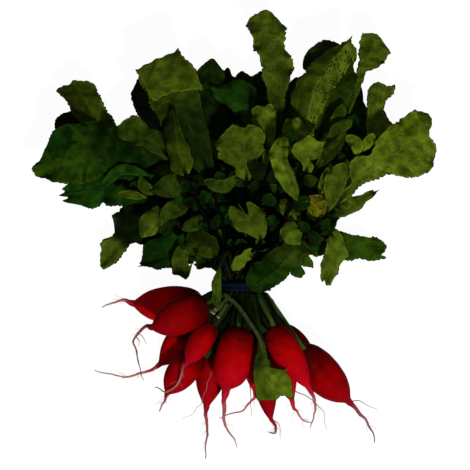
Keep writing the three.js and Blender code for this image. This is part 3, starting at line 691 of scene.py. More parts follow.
# A slot is a row and a place under the band; "blade" runs along the midrib, "edges" are half widths in mm
# as in bladeForms, and "end" is as in bladeEnds.
leaves = [
    # lies over the radishes below the band
    dict(width=28, tone="fresh", baseTone="dull", toneRise=(.4, .7), halves=(1, .65), fold=5, wave=1.5,
         curl=(10, 10), stalkTone="#3a4420", stalk=[(-15, -5, 43), (-6, -12.5, 48), (4, -26, 55)],
         blade=[(11, -38, 58), (13, -58, 55), (22, -82.5, 42)],
         edges=[(0, 2.5, 2.5), (.2, 3.5, 3.5), (.4, 4.8, 6), (.52, 8, 8), (.58, 19, 9), (.75, 17, 10),
                (.9, 14, 12), (1, 12, 13)], end=[(-1, 1), (-.5, .98), (0, .97), (.5, .93), (1, .87)]),
    # top row
    dict(slot=(5, 0), radish=2, width=18, tone="dull", baseTone="moss", halves=(1, .5),
         via=[(-20, 14, 43)], blade=[(-22, 22, 48), (-30, 31, 52), (-43, 32, 47)]),
    dict(slot=(5, 1), radish=2, width=24, tone="dull", baseTone="olive", halves=(.6, 1), fold=-32,
         blade=[(-42, 80, 66), (-48, 103, 71), (-51, 128, 66)],
         edges=[(0, 3, 3), (.1, 10, 8), (.3, 12, 11), (.55, 12, 7), (.8, 9, 4), (1, 2, 1.5)],
         end="pointed"),
    dict(slot=(5, 2), radish=3, width=25, tone="olive", fold=5, via=[(2, 22, 56)],
         blade=[(11, 34, 68), (4, 46, 75), (-6, 61, 71)],
         edges=[(0, 2, 2), (.15, 4, 7), (.35, 7, 11), (.6, 11, 13), (.8, 12, 12), (1, 11, 10)],
         end=[(-1, .8), (-.6, 1), (-.3, .98), (0, .76), (.15, .66), (.4, .84), (.7, .78), (1, .56)]),
    dict(slot=(5, 4), radish=7, width=10, tone="fresh", face=(0, -.5, .8), form="oval",
         blade=[(8, 27, 57), (-2, 20, 62), (-10, 12, 58)]),
    dict(slot=(5, 3), radish=7, width=16, tone="fresh", baseTone="sunlit", halves=(.6, 1), fold=6,
         via=[(10, 60, 66)], blade=[(24, 106, 82), (26, 88, 88), (37, 61, 80)],
         edges=[(0, 5, 6), (.2, 6, 5), (.3, 5, 9), (.5, 5, 8), (.75, 5, 7), (.92, 3, 3), (1, 1, 1)],
         end="pointed"),
    dict(slot=(5, 5), radish=11, width=21, tone="sunlit", baseTone="fresh", specks=.5, via=[(18, 30, 54)],
         blade=[(43, 82, 76), (44, 94, 82), (46, 107, 80)],
         edges=[(0, 3, 4), (.2, 4, 5), (.32, 7, 2), (.42, 10, 8), (.7, 10, 10), (.9, 7, 10), (1, 5, 9)],
         end=[(-1, .78), (-.5, .97), (0, 1), (.5, .96), (1, .95)]),
    dict(slot=(5, 6), radish=11, width=26, tone="cool", baseTone="moss", halves=(1, .55),
         via=[(18, 18, 50)], blade=[(36, 34, 58), (24, 14, 62), (3, -1, 52)],
         edges=[(0, 8, 6), (.1, 9, 6), (.17, 16, 8), (.24, 9, 8), (.3, 11, 10), (.45, 8, 13), (.7, 9, 15),
                (1, 8, 11)],
         leaflets=[((29, 21, 56), (36, 13, 57), (41, 6, 54), 9, "cool"),
                   ((34, 27, 56), (41, 21, 57), (48, 14, 54), 9, "green")]),
    # fifth row
    dict(slot=(4, 0), width=16, tone="fresh", baseTone="moss", halves=(1, .6), cut=True,
         stalk=[(-25, -18, 40), (-21, -10, 36)], blade=[(-54, 50, 47), (-65, 49, 51), (-75, 36, 45)],
         stubs=[((-23.4, -18.6, 50), (-17, -10, 45), 2.1), ((-19.5, -21.7, 51), (-12.5, -11.5, 44), 1.5),
                ((-21.4, -16, 51), (-15, -10, 45), 1.2)]),
    dict(slot=(4, 1), radish=2, width=19, tone="dull", halves=(.8, 1), fold=-4,
         blade=[(-36, 73, 55), (-52, 72, 60), (-68, 68, 54)],
         edges=[(0, 5, 5), (.2, 8, 8), (.5, 10, 9), (.8, 5, 6), (1, 1, 1)], end="pointed",
         leaflets=[((-40, 60, 50), (-50, 56, 54), (-62, 50, 52), 13, "dull"),
                   ((-24, 46, 48), (-34, 46, 52), (-46, 41, 50), 11, "dull"),
                   ((-38, 66, 50), (-44, 63, 53), (-52, 58, 52), 10, "darkCool")]),
    dict(slot=(4, 2), radish=3, width=40, tone="fresh", baseTone="olive", halves=(.9, 1), specks=.6,
         fold=6, blade=[(1, 76, 62), (0, 95, 71), (-3, 116, 68)],
         edges=[(0, 4, 4), (.12, 8, 7), (.26, 9, 9), (.34, 15, 9), (.42, 19, 11), (.6, 20, 14),
                (.75, 19, 17), (1, 16, 18)],
         end=[(-1, .72), (-.7, .9), (-.3, 1), (.1, .96), (.4, .97), (.75, .88), (1, .7)],
         leaflets=[((-4, 80, 62), (-16, 72, 66), (-29, 76, 62), 10, "moss"),
                   ((12, 82, 60), (15, 90, 63), (16, 99, 60), 7, "fresh")]),
    dict(slot=(4, 3), radish=3, width=11, tone="olive", halves=(.4, 1), form="oval",
         blade=[(24, 62, 58), (32, 53, 61), (41, 45, 57)]),
    dict(slot=(4, 4), radish=7, width=12, tone="moss", halves=(1, .4), fold=-14, stubTone="#131d09",
         form="oval", blade=[(50, 84, 62), (60, 96, 67), (72, 110, 62)],
         leaflets=[((58, 104, 58), (66, 112, 62), (77, 120, 58), 10, "moss"),
                   ((60, 112, 52), (67, 122, 55), (70, 131, 52), 10, "moss")],
         stubs=[((-8, -31, 36), (-6, -4, 32), 2.1), ((3, -32, 34), (1, -4, 30), 2),
                ((12, -42, 38), (8, -6, 33), 2.2)]),
    dict(slot=(4, 5), radish=11, width=15, tone="fresh", baseTone="olive", halves=(.75, 1), fold=4,
         blade=[(27, 45, 66), (32, 39, 70), (38, 31, 67)]),
    dict(slot=(4, 6), radish=10, width=16, tone="yellowed", specks=1.2, fold=-6,
         blade=[(53, 50, 66), (50, 58, 71), (46, 66, 69)]),
    dict(slot=(4, 7), radish=12, width=16, tone="fresh", halves=(1, .85), specks=.4, fold=5,
         stalkTone="#4d5828", form="strap", blade=[(58, 54, 56), (63, 71, 62), (70, 89, 60)],
         leaflets=[((53, 64, 56), (56, 76, 60), (59, 86, 57), 7, "fresh")]),
    # fourth row
    dict(slot=(3, 0), radish=1, width=44, tone="green", baseTone="darkCool", halves=(1, .7), fold=10,
         wave=6, curl=(15, 45), face=(0, -.1, 1), blade=[(-72, 74, 43), (-108, 92, 52), (-153, 84, 34)],
         edges=[(0, 4, 6), (.12, 5, 15), (.25, 7, 21), (.5, 17, 28), (.66, 18, 27), (.77, 15, 24),
                (.84, 12, 19), (.89, 10, 11), (1, 8, 6)], end="blunt",
         leaflets=[((-68, 80, 50), (-88, 84, 54), (-104, 70, 52), 9, "cool"),
                   ((-112, 114, 50), (-129, 107, 51), (-139, 92, 46), 17, "darkCool")]),
    dict(slot=(3, 1), radish=1, width=26, tone="moss", baseTone="dull", halves=(.8, 1), specks=.8,
         fold=-12, wave=4.5, blade=[(-54, 93, 44), (-75, 108, 49), (-97, 112, 42)],
         edges=[(0, 4, 4), (.2, 6, 12), (.45, 7, 18), (.7, 8, 14), (.9, 6, 7), (1, 4, 4)],
         leaflets=[((-58, 93, 39), (-74, 95, 41), (-90, 92, 38), 18, "shade")]),
    dict(slot=(3, 2), radish=5, width=42, tone="olive", baseTone="shade", fold=2, wave=1.5, slow=.5,
         flap=36, blade=[(-26, 80, 50), (-45, 127, 58), (-62.5, 160, 52)],
         edges=[(0, 5, 5), (.2, 17, 11), (.4, 19, 16), (.6, 18, 18), (.72, 17, 18), (.85, 16, 19),
                (1, 16, 22)], end=[(-1, .98), (-.5, .98), (0, 1), (.5, 1.03), (1, 1.06)],
         # a nearly black leaflet put in as painted shadow beside the folded-over tip
         leaflets=[((-60, 112, 46), (-71, 132, 49), (-77, 149, 47), 18, "gloom")]),
    dict(slot=(3, 3), radish=5, width=19, tone="fresh", baseTone="sunlit", halves=(.7, 1), fold=-8,
         blade=[(14, 100, 60), (14, 116, 63), (13, 131, 60)],
         edges=[(0, 5, 5), (.2, 8, 8), (.4, 9.5, 8.5), (1, 9.5, 8.5)],
         end=[(-1, .93), (-.4, .95), (0, .9), (.35, 1), (.8, .98), (1, .93)]),
    dict(slot=(3, 4), radish=8, width=28, tone="fresh", baseTone="shade", specks=.8, fold=-7,
         blade=[(20, 88, 52), (22, 148, 58), (14, 198, 48)],
         edges=[(0, 4, 4), (.35, 6, 6), (.45, 8, 8), (.6, 10, 15), (.68, 11, 11), (.8, 13, 12),
                (.92, 15, 14), (1, 14, 13)],
         end=[(-1, .96), (-.5, .99), (0, 1), (.4, .97), (.8, .93), (1, .9)],
         leaflets=[((8, 62, 46), (14, 72, 52), (10, 83, 54), 12, "darkCool")]),
    dict(slot=(3, 5), radish=8, width=19, tone="fresh", baseTone="sunlit", halves=(.6, 1),
         blade=[(33, 98, 66), (35, 110, 69), (37, 120, 66)]),
    dict(slot=(3, 6), radish=12, width=30, tone="fresh", halves=(.5, 1), specks=(.15, 1.6), fold=-30,
         wave=1.6, curl=(10, 10), stalkTone="#333e1a", blade=[(40, 98, 52), (51, 145, 62), (76, 179, 48)],
         edges=[(0, 4, 4), (.15, 12, 8), (.3, 17, 11), (.55, 15, 15), (.8, 9, 15), (.93, 4, 12),
                (1, 1, 4)], end="pointed"),
    dict(slot=(3, 7), radish=12, width=46, tone="sunlit", baseTone="fresh", specks=.8, fold=4, slow=.2,
         stalkTone="#465022", blade=[(66, 60, 48), (96, 90, 58), (136, 108, 46)],
         edges=[(0, 2, 2), (.1, 4, 4), (.2, 3, 3), (.28, 12, 5), (.38, 13, 9), (.46, 8, 10),
                (.56, 14, 15), (.64, 17, 20), (.7, 19.5, 21.5), (.78, 20, 23), (.89, 22.5, 23),
                (1, 24, 22)],
         end=[(-1, .95), (-.85, 1.02), (-.6, 1.05), (-.4, 1.02), (-.08, .95), (.15, .98), (.4, .98),
              (.75, .92), (1, .8)],
         leaflets=[((80, 93, 54), (79, 103, 57), (71, 108, 53), 10, "sunlit"),
                   ((84, 97, 54), (88, 104, 56), (92, 110, 53), 8, "sunlit")]),
    # third row
    dict(slot=(2, 0), radish=1, width=14, tone="olive", halves=(1, .65), form="strap",
         blade=[(-39, 31, 24), (-47, 21, 24), (-44, 6, 13)]),
    dict(slot=(2, 1), radish=5, width=26, tone="cool", baseTone="darkCool", fold=-8,
         blade=[(-62, 62, 35), (-98, 71, 36), (-137, 66, 20)],
         edges=[(0, 3, 3), (.2, 9, 8), (.45, 14, 9), (.6, 12, 9), (.72, 15, 9), (.85, 10, 9), (1, 7, 6)],
         end="ragged",
         leaflets=[((-65, 66, 50), (-72, 72, 54), (-75, 80, 52), 9, "moss"),
                   ((-70, 64, 50), (-80, 66, 52), (-92, 67, 49), 7, "olive")]),
    dict(slot=(2, 2), radish=6, width=26, tone="olive", baseTone="moss", halves=(.5, 1), fold=-22,
         wave=1.5, curl=(10, 10), blade=[(-80, 96, 32), (-106, 121, 37), (-127, 152, 26)],
         edges=[(0, 5, 5), (.3, 11, 8), (.5, 14, 10), (.75, 14, 12), (.9, 16, 15), (1, 16, 15)],
         end=[(-1, 1), (-.5, .99), (-.2, .93), (0, .95), (.5, .92), (1, .84)]),
    dict(slot=(2, 3), radish=6, width=22, tone="shade", baseTone="deep", fold=-12, wave=1.5,
         blade=[(-13, 84, 37), (-23, 130, 42), (-25, 165, 34)],
         edges=[(0, 4, 4), (.3, 11, 9), (.6, 13, 11), (.85, 12, 11), (1, 8, 9)], end="blunt"),
    dict(slot=(2, 4), radish=8, width=30, tone="cool", halves=(1, .75), fold=-14,
         blade=[(6, 112, 44), (0, 130, 49), (-25, 144, 43)],
         edges=[(0, 4, 4), (.25, 8, 6), (.45, 10, 9), (.62, 10, 16), (.78, 9, 14), (.88, 6, 6), (1, 1, 1)],
         end="pointed"),
    dict(slot=(2, 5), radish=9, width=36, tone="dull", baseTone="moss", halves=(1, .65), fold=8,
         blade=[(52, 104, 38), (63, 146, 43), (60, 177, 36)],
         edges=[(0, 6, 6), (.3, 14, 14), (.6, 13, 16), (.74, 17, 15), (.83, 22, 14), (1, 17, 14)]),
    dict(slot=(2, 6), radish=10, width=22, tone="fresh", baseTone="moss", halves=(.85, 1), specks=.9,
         fold=5, wave=1.6, blade=[(72, 124, 34), (85, 157, 38), (97, 182, 30)],
         edges=[(0, 3, 3), (.35, 4, 4), (.52, 4, 4), (.62, 5, 10), (.7, 8, 13), (.85, 11, 12), (1, 10, 8)],
         end=[(-1, .93), (-.4, 1), (0, 1), (.5, .96), (1, .84)]),
    dict(slot=(2, 7), radish=10, width=12, tone="shade", baseTone="fresh", toneRise=(.78, .95),
         halves=(1, .7), fold=-10, blade=[(58, 48, 36), (76, 58, 41), (97, 70, 35)],
         edges=[(0, 2, 2), (.2, 3.5, 4), (.45, 5, 6), (.6, 6, 6), (.75, 4, 3), (.9, 4, 3), (1, 2, 1)],
         end="ragged"),
    # second row
    dict(slot=(1, 0), radish=14, width=26, tone="darkCool", baseTone="cool", halves=(.6, 1),
         blade=[(-36, 21, 15), (-56, 22, 15), (-77, 15, 9)],
         edges=[(0, 5, 6), (.3, 9, 15), (.6, 9, 16), (.8, 6, 11), (.92, 3, 5), (1, 1, 1)], end="pointed"),
    dict(slot=(1, 1), radish=4, width=24, tone="olive", baseTone="deep", toneRise=(.62, .74), fold=8,
         blade=[(-62, 54, 18), (-84, 40, 18), (-105, 14, 8)],
         edges=[(0, 8, 10), (.2, 10, 16), (.4, 10, 16), (.55, 9, 17), (.62, 8, 10), (.8, 7, 9), (1, 5, 4)],
         end="blunt"),
    dict(slot=(1, 2), radish=4, width=26, tone="deep",
         blade=[(-84, 84, 14), (-114, 112, 15), (-140, 121, 9)]),
    dict(slot=(1, 3), radish=6, width=44, tone="shade", baseTone="cool",
         blade=[(-4, 36, 16), (-8, 106, 15), (-3, 158, 9)],
         edges=[(0, 12, 12), (.3, 21, 22), (.6, 22, 24), (.8, 19, 26), (1, 14, 22)],
         end=[(-1, .97), (-.6, 1), (-.3, .96), (0, 1), (.35, .96), (.6, .99), (1, .97)]),
    dict(slot=(1, 4), radish=9, width=20, tone="fresh", baseTone="sunlit", halves=(.8, 1), specks=.7,
         wave=1.4, blade=[(92, 100, 26), (95, 122, 29), (98, 148, 23)],
         edges=[(0, 4, 5), (.25, 7, 9), (.42, 7, 12), (.55, 7, 6), (.64, 7, 4), (.75, 8, 6), (.9, 9, 11),
                (1, 8, 10)], end=[(-1, .9), (-.5, .97), (0, 1), (.5, .97), (1, .97)]),
    dict(slot=(1, 5), radish=13, width=18, tone="fresh", specks=.6, fold=6,
         blade=[(62, 38, 27), (64, 20, 29), (58, 2, 17)],
         edges=[(0, 6, 6), (.3, 9, 6), (.45, 11, 7), (.62, 6, 8), (.85, 6, 6), (1, 2, 2)], end="pointed"),
    dict(slot=(1, 6), radish=13, width=22, tone="green", baseTone="olive", toneRise=(.4, .7), fold=-8,
         blade=[(40, 32, 15), (72, 31, 17), (105, 27, 8)],
         edges=[(0, 6, 8), (.12, 9, 9), (.2, 10, 14), (.3, 10, 12), (.5, 9, 12), (.7, 8, 11), (.88, 7, 9),
                (1, 5, 7)], end=[(-1, .88), (-.5, .97), (0, 1), (.4, .98), (.6, .93), (.8, .98), (1, .96)]),
    # lowest row
    dict(slot=(0, 0), radish=14, width=30, tone="deep", blade=[(-28, 22, 6), (-58, 40, 2), (-88, 50, .6)]),
    dict(slot=(0, 1), radish=14, width=46, tone="olive",
         blade=[(-26, 30, 6), (-72, 74, 2), (-114, 104, .6)]),
    dict(slot=(0, 2), radish=4, width=48, tone="shade", baseTone="cool",
         blade=[(-14, 34, 6), (-44, 92, 2), (-66, 142, .6)],
         leaflets=[((-15, 36, 5), (-11, 24, 4), (-7, 10, 4), 22, "deep"),
                   ((-14, 41, 6), (-2, 36, 5), (10, 33, 5), 15, "deep")]),
    dict(slot=(0, 3), radish=9, width=50, tone="cool", baseTone="olive",
         blade=[(14, 30, 6), (38, 98, 2), (46, 156, .6)],
         leaflets=[((14, 32, 5), (9, 22, 4), (2, 9, 4), 22, "shade")]),
    dict(slot=(0, 4), radish=13, width=44, tone="cool", baseTone="olive",
         blade=[(24, 30, 6), (62, 86, 2), (82, 146, .6)]),
    # loose leaf tucked in at the top of the band
    dict(width=8, tone="moss", fold=-10, bare=True, form="strap", stalk=[(-13, 26, 52), (-15.5, 20, 52)],
         blade=[(-18, 15, 52), (-20, 2, 52), (-21, -15, 50)]),
]

# Sizes and wavelengths are in mm for a leaf 30 mm wide or more; a drift is a wavelength and a size.
leafBuild = {
    "cell": 1.3,  # between points of a blade
    "smallCell": 1.1,
    "thickness": 0.36,
    "leastHalf": 0.4,
    "waveLength": 19.0,
    "waveDrift": (40.0, 0.9),
    "tipWave": 0.6,  # share of the margin's wave
    "tooth": 1.25,
    "toothPitch": 4.4,
    "toothShape": 0.6,  # under 1 makes teeth rounded and notches narrow
    "toothDrift": (23.0, 0.5),
    "unevenEdge": 1.4,
    "unevenSides": 16.0,
    "unevenEnd": 13.0,
    "fineEdge": 0.45,
    "finePitch": 3.4,
    "buckle": 3.2,
    "buckleSize": 30.0,
    "crumple": 0.8,
    "crumpleSize": 13.0,
    "quilting": 0.6,  # rise between the side veins
    "veinSpacing": 7.5,
    "veinDrift": (26.0, 0.12),
    "veinSlope": 0.85,
    "stalkRadius": 1.6,
    "stalkSides": 12,
    "stalkStep": 2.4,
    "stalkNarrowing": 0.55,  # on its way into the blade
    "stalkGroove": 0.45,
    "crownSwell": (0.25, 5),  # share of the radius, over so many mm
    "ribTip": 0.22,
    "ribEnd": 0.96,  # share of the blade
    "ribSunk": 0.72,
    # painted shade on the stalks under the leaves, growing from the band out to the blades
    "stalkPaintedShade": 0.85,  # from the band out to the blades
    "paintedShadeReach": (15, 45),  # mm from the middle of the band
    "flapRadius": 2.4,  # of the bend where a tip has folded back over its blade
    "flapTurn": 170,  # degrees
}

# Small paired lobes on the stalks, in the shade of the leaves above.
lobeBuild = {
    "spacing": 15.0,  # mm between pairs
    "from": 24.0,  # mm from the middle of the band
    "bandClear": 8.0,
    "missing": 0.25,  # share of them
    "size": (8, 14),
    "width": (0.55, 0.9),  # share of the size
    "fold": (0, 35),  # degrees
    "forms": ["lobed", "broad", "point"],
    "ends": ["pointed", "ragged"],
    "tones": ["deep", "deep", "shade", "darkCool", "darkCool", "dull"],
    "shape": {"flap": 0, "cell": 1.2, "wave": 0.6, "scale": 0.5, "curl": (20, 20), "halves": (1, 1)},
}

# Bare stalks, two beside each rooted one.
sproutBuild = {
    # painted light and shade: each bare stalk gets one of these, from nearly black to a lit olive, at random
    "colours": ["#0b1205", "#10190a", "#1a2a0c", "#2a3d12", "#3b4f1c"],
    "spread": 3.4,  # mm from a leaf's own stalk at the crown
    "spreading": (0.7, 1.3),
    "endApart": (1.0, 3.0),
    "endRise": (-1.5, 1.5),
    "rooted": 1.5,  # mm inside the crown
    "bend": (5, 8),
    "stalkShare": 0.97,
}

rowSizes = [5, 7, 8, 8, 8, 7]  # stalks in each row under the band, lowest row first
stalkPitch = 4.0
rowPitch = 3.9
tieReach = 5.0  # stalks run straight this far before and behind the middle of the band
footRing = 2.9  # radius of the ring of stalks on a crown
footLift = 6.0
footGap = 0.5  # between a crown and the stalks that grow from it


def slotPlace(slot):
    row, place = slot
    return np.array([tie[0] + (place - (rowSizes[row] - 1) / 2) * stalkPitch,
                     tie[2] + (row - (len(rowSizes) - 1) / 2) * rowPitch])


def rootedStalk(leaf):
    # a stalk leaves its crown in the order that the stalks keep at the band
    radish = radishes[leaf["radish"] - 1]
    crown, tip = np.array(radish["crown"], dtype=float), np.array(radish["tip"], dtype=float)
    axis = unit(crown - tip)
    side = unit(np.cross(axis, up))
    rise = np.cross(side, axis)
    mates = [slotPlace(other["slot"]) for other in leaves if other.get("radish") == leaf["radish"]]
    away = unit(slotPlace(leaf["slot"]) - np.mean(mates, axis=0)) * footRing
    foot = crown + side * away[0] + rise * away[1]
    lead = [np.array(point) + foot - crown for point in stalkLeads.get(leaf["radish"], [])]
    return [foot + axis * footGap, foot + axis * (footGap + footLift), *lead]


# Points that lead a radish's stalks round its neighbours to the band.
stalkLeads = {2: [(-17.5, -8, 41.5)], 4: [(-27, -27, 10), (-15, -17, 12)], 13: [(18, -13, 14)]}


def leafRoute(leaf):
    stalk = list(leaf["stalk"]) if "stalk" in leaf else rootedStalk(leaf)
    if "slot" in leaf:
        x, z = slotPlace(leaf["slot"])
        stalk += [(x, -tieReach, z), (x, tieReach, z)]
    stalk += leaf["via"]
    points = [np.array(point, dtype=float) for point in stalk + list(leaf["blade"])]
    return points, len(stalk) / (len(points) - 1)


def turnedFrames(spine, shares, twist, bladeShare):
    points, _, normals, side = spine.frames(shares)
    turn = twist * smoothSteps(shares, bladeShare * 0.6, bladeShare)
    cosine, sine = np.cos(turn)[..., None], np.sin(turn)[..., None]
    return points, side * cosine - normals * sine, normals * cosine + side * sine


def toneColours(leaf):
    return (np.array(linearColour(leafTones[leaf[key]])) for key in ("tone", "baseTone"))


def bladeOutline(u, v, length, shape, rng, fineSource):
    # rounded teeth with narrow notches on an uneven outline, deeper on the larger lobes
    build, scale, side = leafBuild, shape["scale"], np.sign(v)
    pitch = build["toothPitch"] * scale
    lengthwise, crosswise = u * length, v * shape["width"] / 2
    driftLength, drift = build["toothDrift"]

    def teeth(phase):
        return (np.abs(np.sin(phase)) ** build["toothShape"] - build["toothShape"]) * build["tooth"] * scale

    def uneven(x, y, wavelength):
        return ripples(rng, x, y, wavelength) * build["unevenEdge"] * scale * shape["slow"]

    knots = np.array(shape["edges"])
    reach = throughKnots(shape["end"], v)
    left, right = (throughKnots(knots[:, [0, column]], u * reach) for column in (1, 2))
    half = np.maximum(np.where(v < 0, left, right), build["leastHalf"])
    toothPhase = lengthwise / pitch + ripples(rng, lengthwise, side * 50, driftLength) * drift + side
    slow = uneven(lengthwise, side * 80, build["unevenSides"])
    fine = ripples(fineSource, lengthwise, side * 40, build["finePitch"]) * build["fineEdge"] * scale
    half = half + (teeth(toothPhase * math.pi) + slow + fine) * np.abs(v) ** 6 * smoothSteps(u, 0.02, 0.2)
    endTeeth = teeth(crosswise / pitch * math.pi + 0.7)
    along = u * reach * length + (endTeeth + uneven(crosswise, 33.0, build["unevenEnd"])) * u ** 8
    edge = np.minimum((1 - np.abs(v)) * half, (1 - u) * reach * length)
    return along, v * half, edge, reach


def laidAlong(spine, span, along, flatLength, twist, bladeShare, flapped):
    # past the spine's end the blade runs straight on, or bends back over itself
    shares = span[0] + np.clip(along / flatLength, 0, 1.0) * (span[1] - span[0])
    points, acrossWay, outWay = turnedFrames(spine, shares, twist, bladeShare)
    beyond = np.maximum(along - flatLength, 0)[:, None]
    radius = leafBuild["flapRadius"]
    turn = np.minimum(beyond / radius, math.radians(leafBuild["flapTurn"])) if flapped else beyond * 0
    ahead = radius * np.sin(turn) + (beyond - radius * turn) * np.cos(turn)
    rise = radius * (1 - np.cos(turn)) + (beyond - radius * turn) * np.sin(turn)
    endWay = spine.tangents([span[1]])[0]
    return points + endWay * ahead + outWay * rise, acrossWay, outWay * np.cos(turn) - endWay * np.sin(turn)


def bladeSection(u, v, across, shape):
    # two halves folded up along the midrib, each curled as an arc
    curl = np.radians(np.where(v < 0, *shape["curl"])) / max(shape["width"] / 2, 1)
    bend = np.abs(across) * curl
    flat, sag = np.sin(bend) / curl, (1 - np.cos(bend)) / curl
    fold = math.radians(shape["fold"]) * smoothSteps(u, 0, 0.25)
    x = np.sign(across) * (flat * np.cos(fold) + sag * np.sin(fold))
    return x, flat * np.sin(fold) - sag * np.cos(fold)


def bladeRelief(u, v, across, along, shape, rng, fineSource):
    # margin waves, broad buckles, crumples and the swelling between the side veins
    build, scale, side = leafBuild, shape["scale"], np.sign(v)
    offMiddle = np.abs(across)
    (waveDriftLength, waveDrift), (veinDriftLength, veinDrift) = build["waveDrift"], build["veinDrift"]
    free = np.clip(offMiddle / (shape["width"] / 2), 0, 1.3)
    wavePhase = along / (build["waveLength"] * scale) * 2 * math.pi + side * 1.3
    wavePhase = wavePhase + ripples(rng, along, side * 60, waveDriftLength) * waveDrift
    waves = np.sin(wavePhase) * free ** 2 * shape["wave"]
    tipWave = np.sin(v * 4.2 + rng.uniform(0, 6)) * u ** 5 * shape["wave"] * build["tipWave"]
    buckles = ripples(rng, across, along, build["buckleSize"] * scale) * build["buckle"] * scale * free
    veinPhase = (along - offMiddle * build["veinSlope"]) / build["veinSpacing"] + side * 0.22
    veinPhase = veinPhase + ripples(rng, across, along, veinDriftLength) * veinDrift
    between = np.abs(((veinPhase + 0.5) % 1) - 0.5) * 2
    quilt = between ** 0.7 * build["quilting"] * smoothSteps(offMiddle, 0.5, 3.0) * smoothSteps(u, 0.05, 0.2)
    crumple = ripples(fineSource, across, along, build["crumpleSize"] * scale) * build["crumple"] * scale
    return (waves + tipWave + buckles + crumple) * smoothSteps(u, 0, 0.25) + quilt, veinPhase


def bladeColour(alongShare, v, shape):
    tipColour, baseColour = toneColours(shape)
    tipShare = smoothSteps(alongShare, *shape["toneRise"])[..., None]
    colour = baseColour * (1 - tipShare) + tipColour * tipShare
    # painted shade on the half of the blade that faces away from the light
    colour = colour * np.where(v < 0, *shape["halves"])[..., None]
    colour[..., 3] = np.where(v < 0, *shape["specks"])
    return colour.reshape(-1, 4)


def shellFaces(rows, columns):
    top = np.arange((rows + 1) * (columns + 1)).reshape(rows + 1, columns + 1)
    low = top + top.size
    quads = [(top[:-1, :-1], top[:-1, 1:], top[1:, 1:], top[1:, :-1]),
             (low[:-1, :-1], low[1:, :-1], low[1:, 1:], low[:-1, 1:]),
             (top[:-1, 0], top[1:, 0], low[1:, 0], low[:-1, 0]),
             (top[1:, -1], top[:-1, -1], low[:-1, -1], low[1:, -1]),
             (top[-1, :-1], top[-1, 1:], low[-1, 1:], low[-1, :-1]),
             (top[0, 1:], top[0, :-1], low[0, :-1], low[0, 1:])]
    return np.concatenate([stacked(*quad) for quad in quads]).tolist()


def makeBlade(spine, span, twist, bladeShare, shape, rng):
    # a thin shell: columns run across it and crowd towards its margins, rows run along it
    flatLength = spine.length(*span)
    length = flatLength + shape["flap"]
    rows = max(10, int(length / shape["cell"]))
    columns = max(8, 2 * int(shape["width"] / shape["cell"] / 2))
    crowding = 0.4 * math.pi
    lines = np.sin(np.linspace(-1, 1, columns + 1) * crowding) / math.sin(crowding)
    u, v = np.meshgrid(np.linspace(0, 1, rows + 1) ** 0.92, lines, indexing="ij")
    fineSource = np.random.default_rng(rows)
    along, across, edge, reach = bladeOutline(u, v, length, shape, rng, fineSource)
    points, acrossWay, outWay = laidAlong(spine, span, along.ravel(), flatLength, twist, bladeShare,
                                          shape["flap"])
    x, z = bladeSection(u, v, across, shape)
    rise, veinPhase = bladeRelief(u, v, across, along, shape, rng, fineSource)
    surface = points + acrossWay * x.reshape(-1, 1) + outWay * (z + rise).reshape(-1, 1)
    thick = leafBuild["thickness"] * (0.35 + 0.65 * smoothSteps(edge, 0, 1.2))
    vertices = np.concatenate([surface, surface - outWay * thick.reshape(-1, 1)])
    colour = bladeColour(u * reach, v, shape)
    values = {"leafPlace": np.tile(stacked(across, along, shape["seed"] * 17.0), (2, 1)),
              "leafMarks": np.tile(stacked(veinPhase, edge, 0.0), (2, 1)),
              "leafTone": np.concatenate([colour, colour * np.array(leafLook["undersidePaleness"])])}
    return vertices, shellFaces(rows, columns), values


def makeStalk(spine, bladeShare, twist, leaf):
    # it runs on into the blade as the midrib
    build = leafBuild
    length, sides = spine.length(), build["stalkSides"]
    rows = max(16, int(length / build["stalkStep"])) + 1
    shares = np.linspace(0, 1, rows) * (bladeShare + (1 - bladeShare) * build["ribEnd"])
    inBlade = np.clip((shares - bladeShare) / (1 - bladeShare), 0, 1)[:, None]
    radius = build["stalkRadius"] * leaf["thickness"] * (
        1 - smoothSteps(inBlade, -0.1, 0.5) * build["stalkNarrowing"])
    radius = radius + (build["ribTip"] - radius) * inBlade
    points, acrossWay, outWay = turnedFrames(spine, shares, twist, bladeShare)
    tipColour, baseColour = toneColours(leaf)
    tipShare = smoothSteps(inBlade, *leaf["toneRise"])
    ribColour = (baseColour * (1 - tipShare) + tipColour * tipShare) * leafLook["ribPaleness"]
    stalkColour = np.array(linearColour(leaf["stalkTone"]))
    if "radish" in leaf:
        swell, reach = build["crownSwell"]
        radius = radius * (1 + swell * np.exp(-shares * length / reach))[:, None]
        # painted shade: stalks are painted darker away from the band, where the leaves above them shade them
        fromTie = smoothSteps(np.linalg.norm(points - tie, axis=1), *build["paintedShadeReach"])
        paintedShadeShare = build["stalkPaintedShade"] * fromTie * smoothSteps(points[:, 1], 0, 10)
        stalkColour = stalkColour * (1 - paintedShadeShare)[:, None]
    ribShare = smoothSteps(inBlade, 0, 0.3)
    colour = stalkColour * (1 - ribShare) + ribColour * ribShare
    colour[:, 3] = 0.0
    angles = ringAngles(sides)
    x, z = np.cos(angles), np.sin(angles)
    z = z - np.where(z > 0.2, build["stalkGroove"] * (1 - np.abs(x)) ** 0.8, 0)
    vertices, faces = tubeAround(points, acrossWay, outWay, x * radius,
                                 z * radius - radius * build["ribSunk"] * ribShare)
    stalkness = np.ones(len(vertices))
    if leaf.get("cut"):
        stalkness[:sides] = 2.0
    return vertices, faces, {"leafPlace": stacked(x * 1.6, (shares * length)[:, None], 0.0),
                             "leafMarks": stacked(0.5, 9.0, stalkness),
                             "leafTone": np.repeat(colour, sides, axis=0)}


def scaledForm(name, width):
    return [(share, left * width / 2, right * width / 2) for share, left, right in bladeForms[name]]


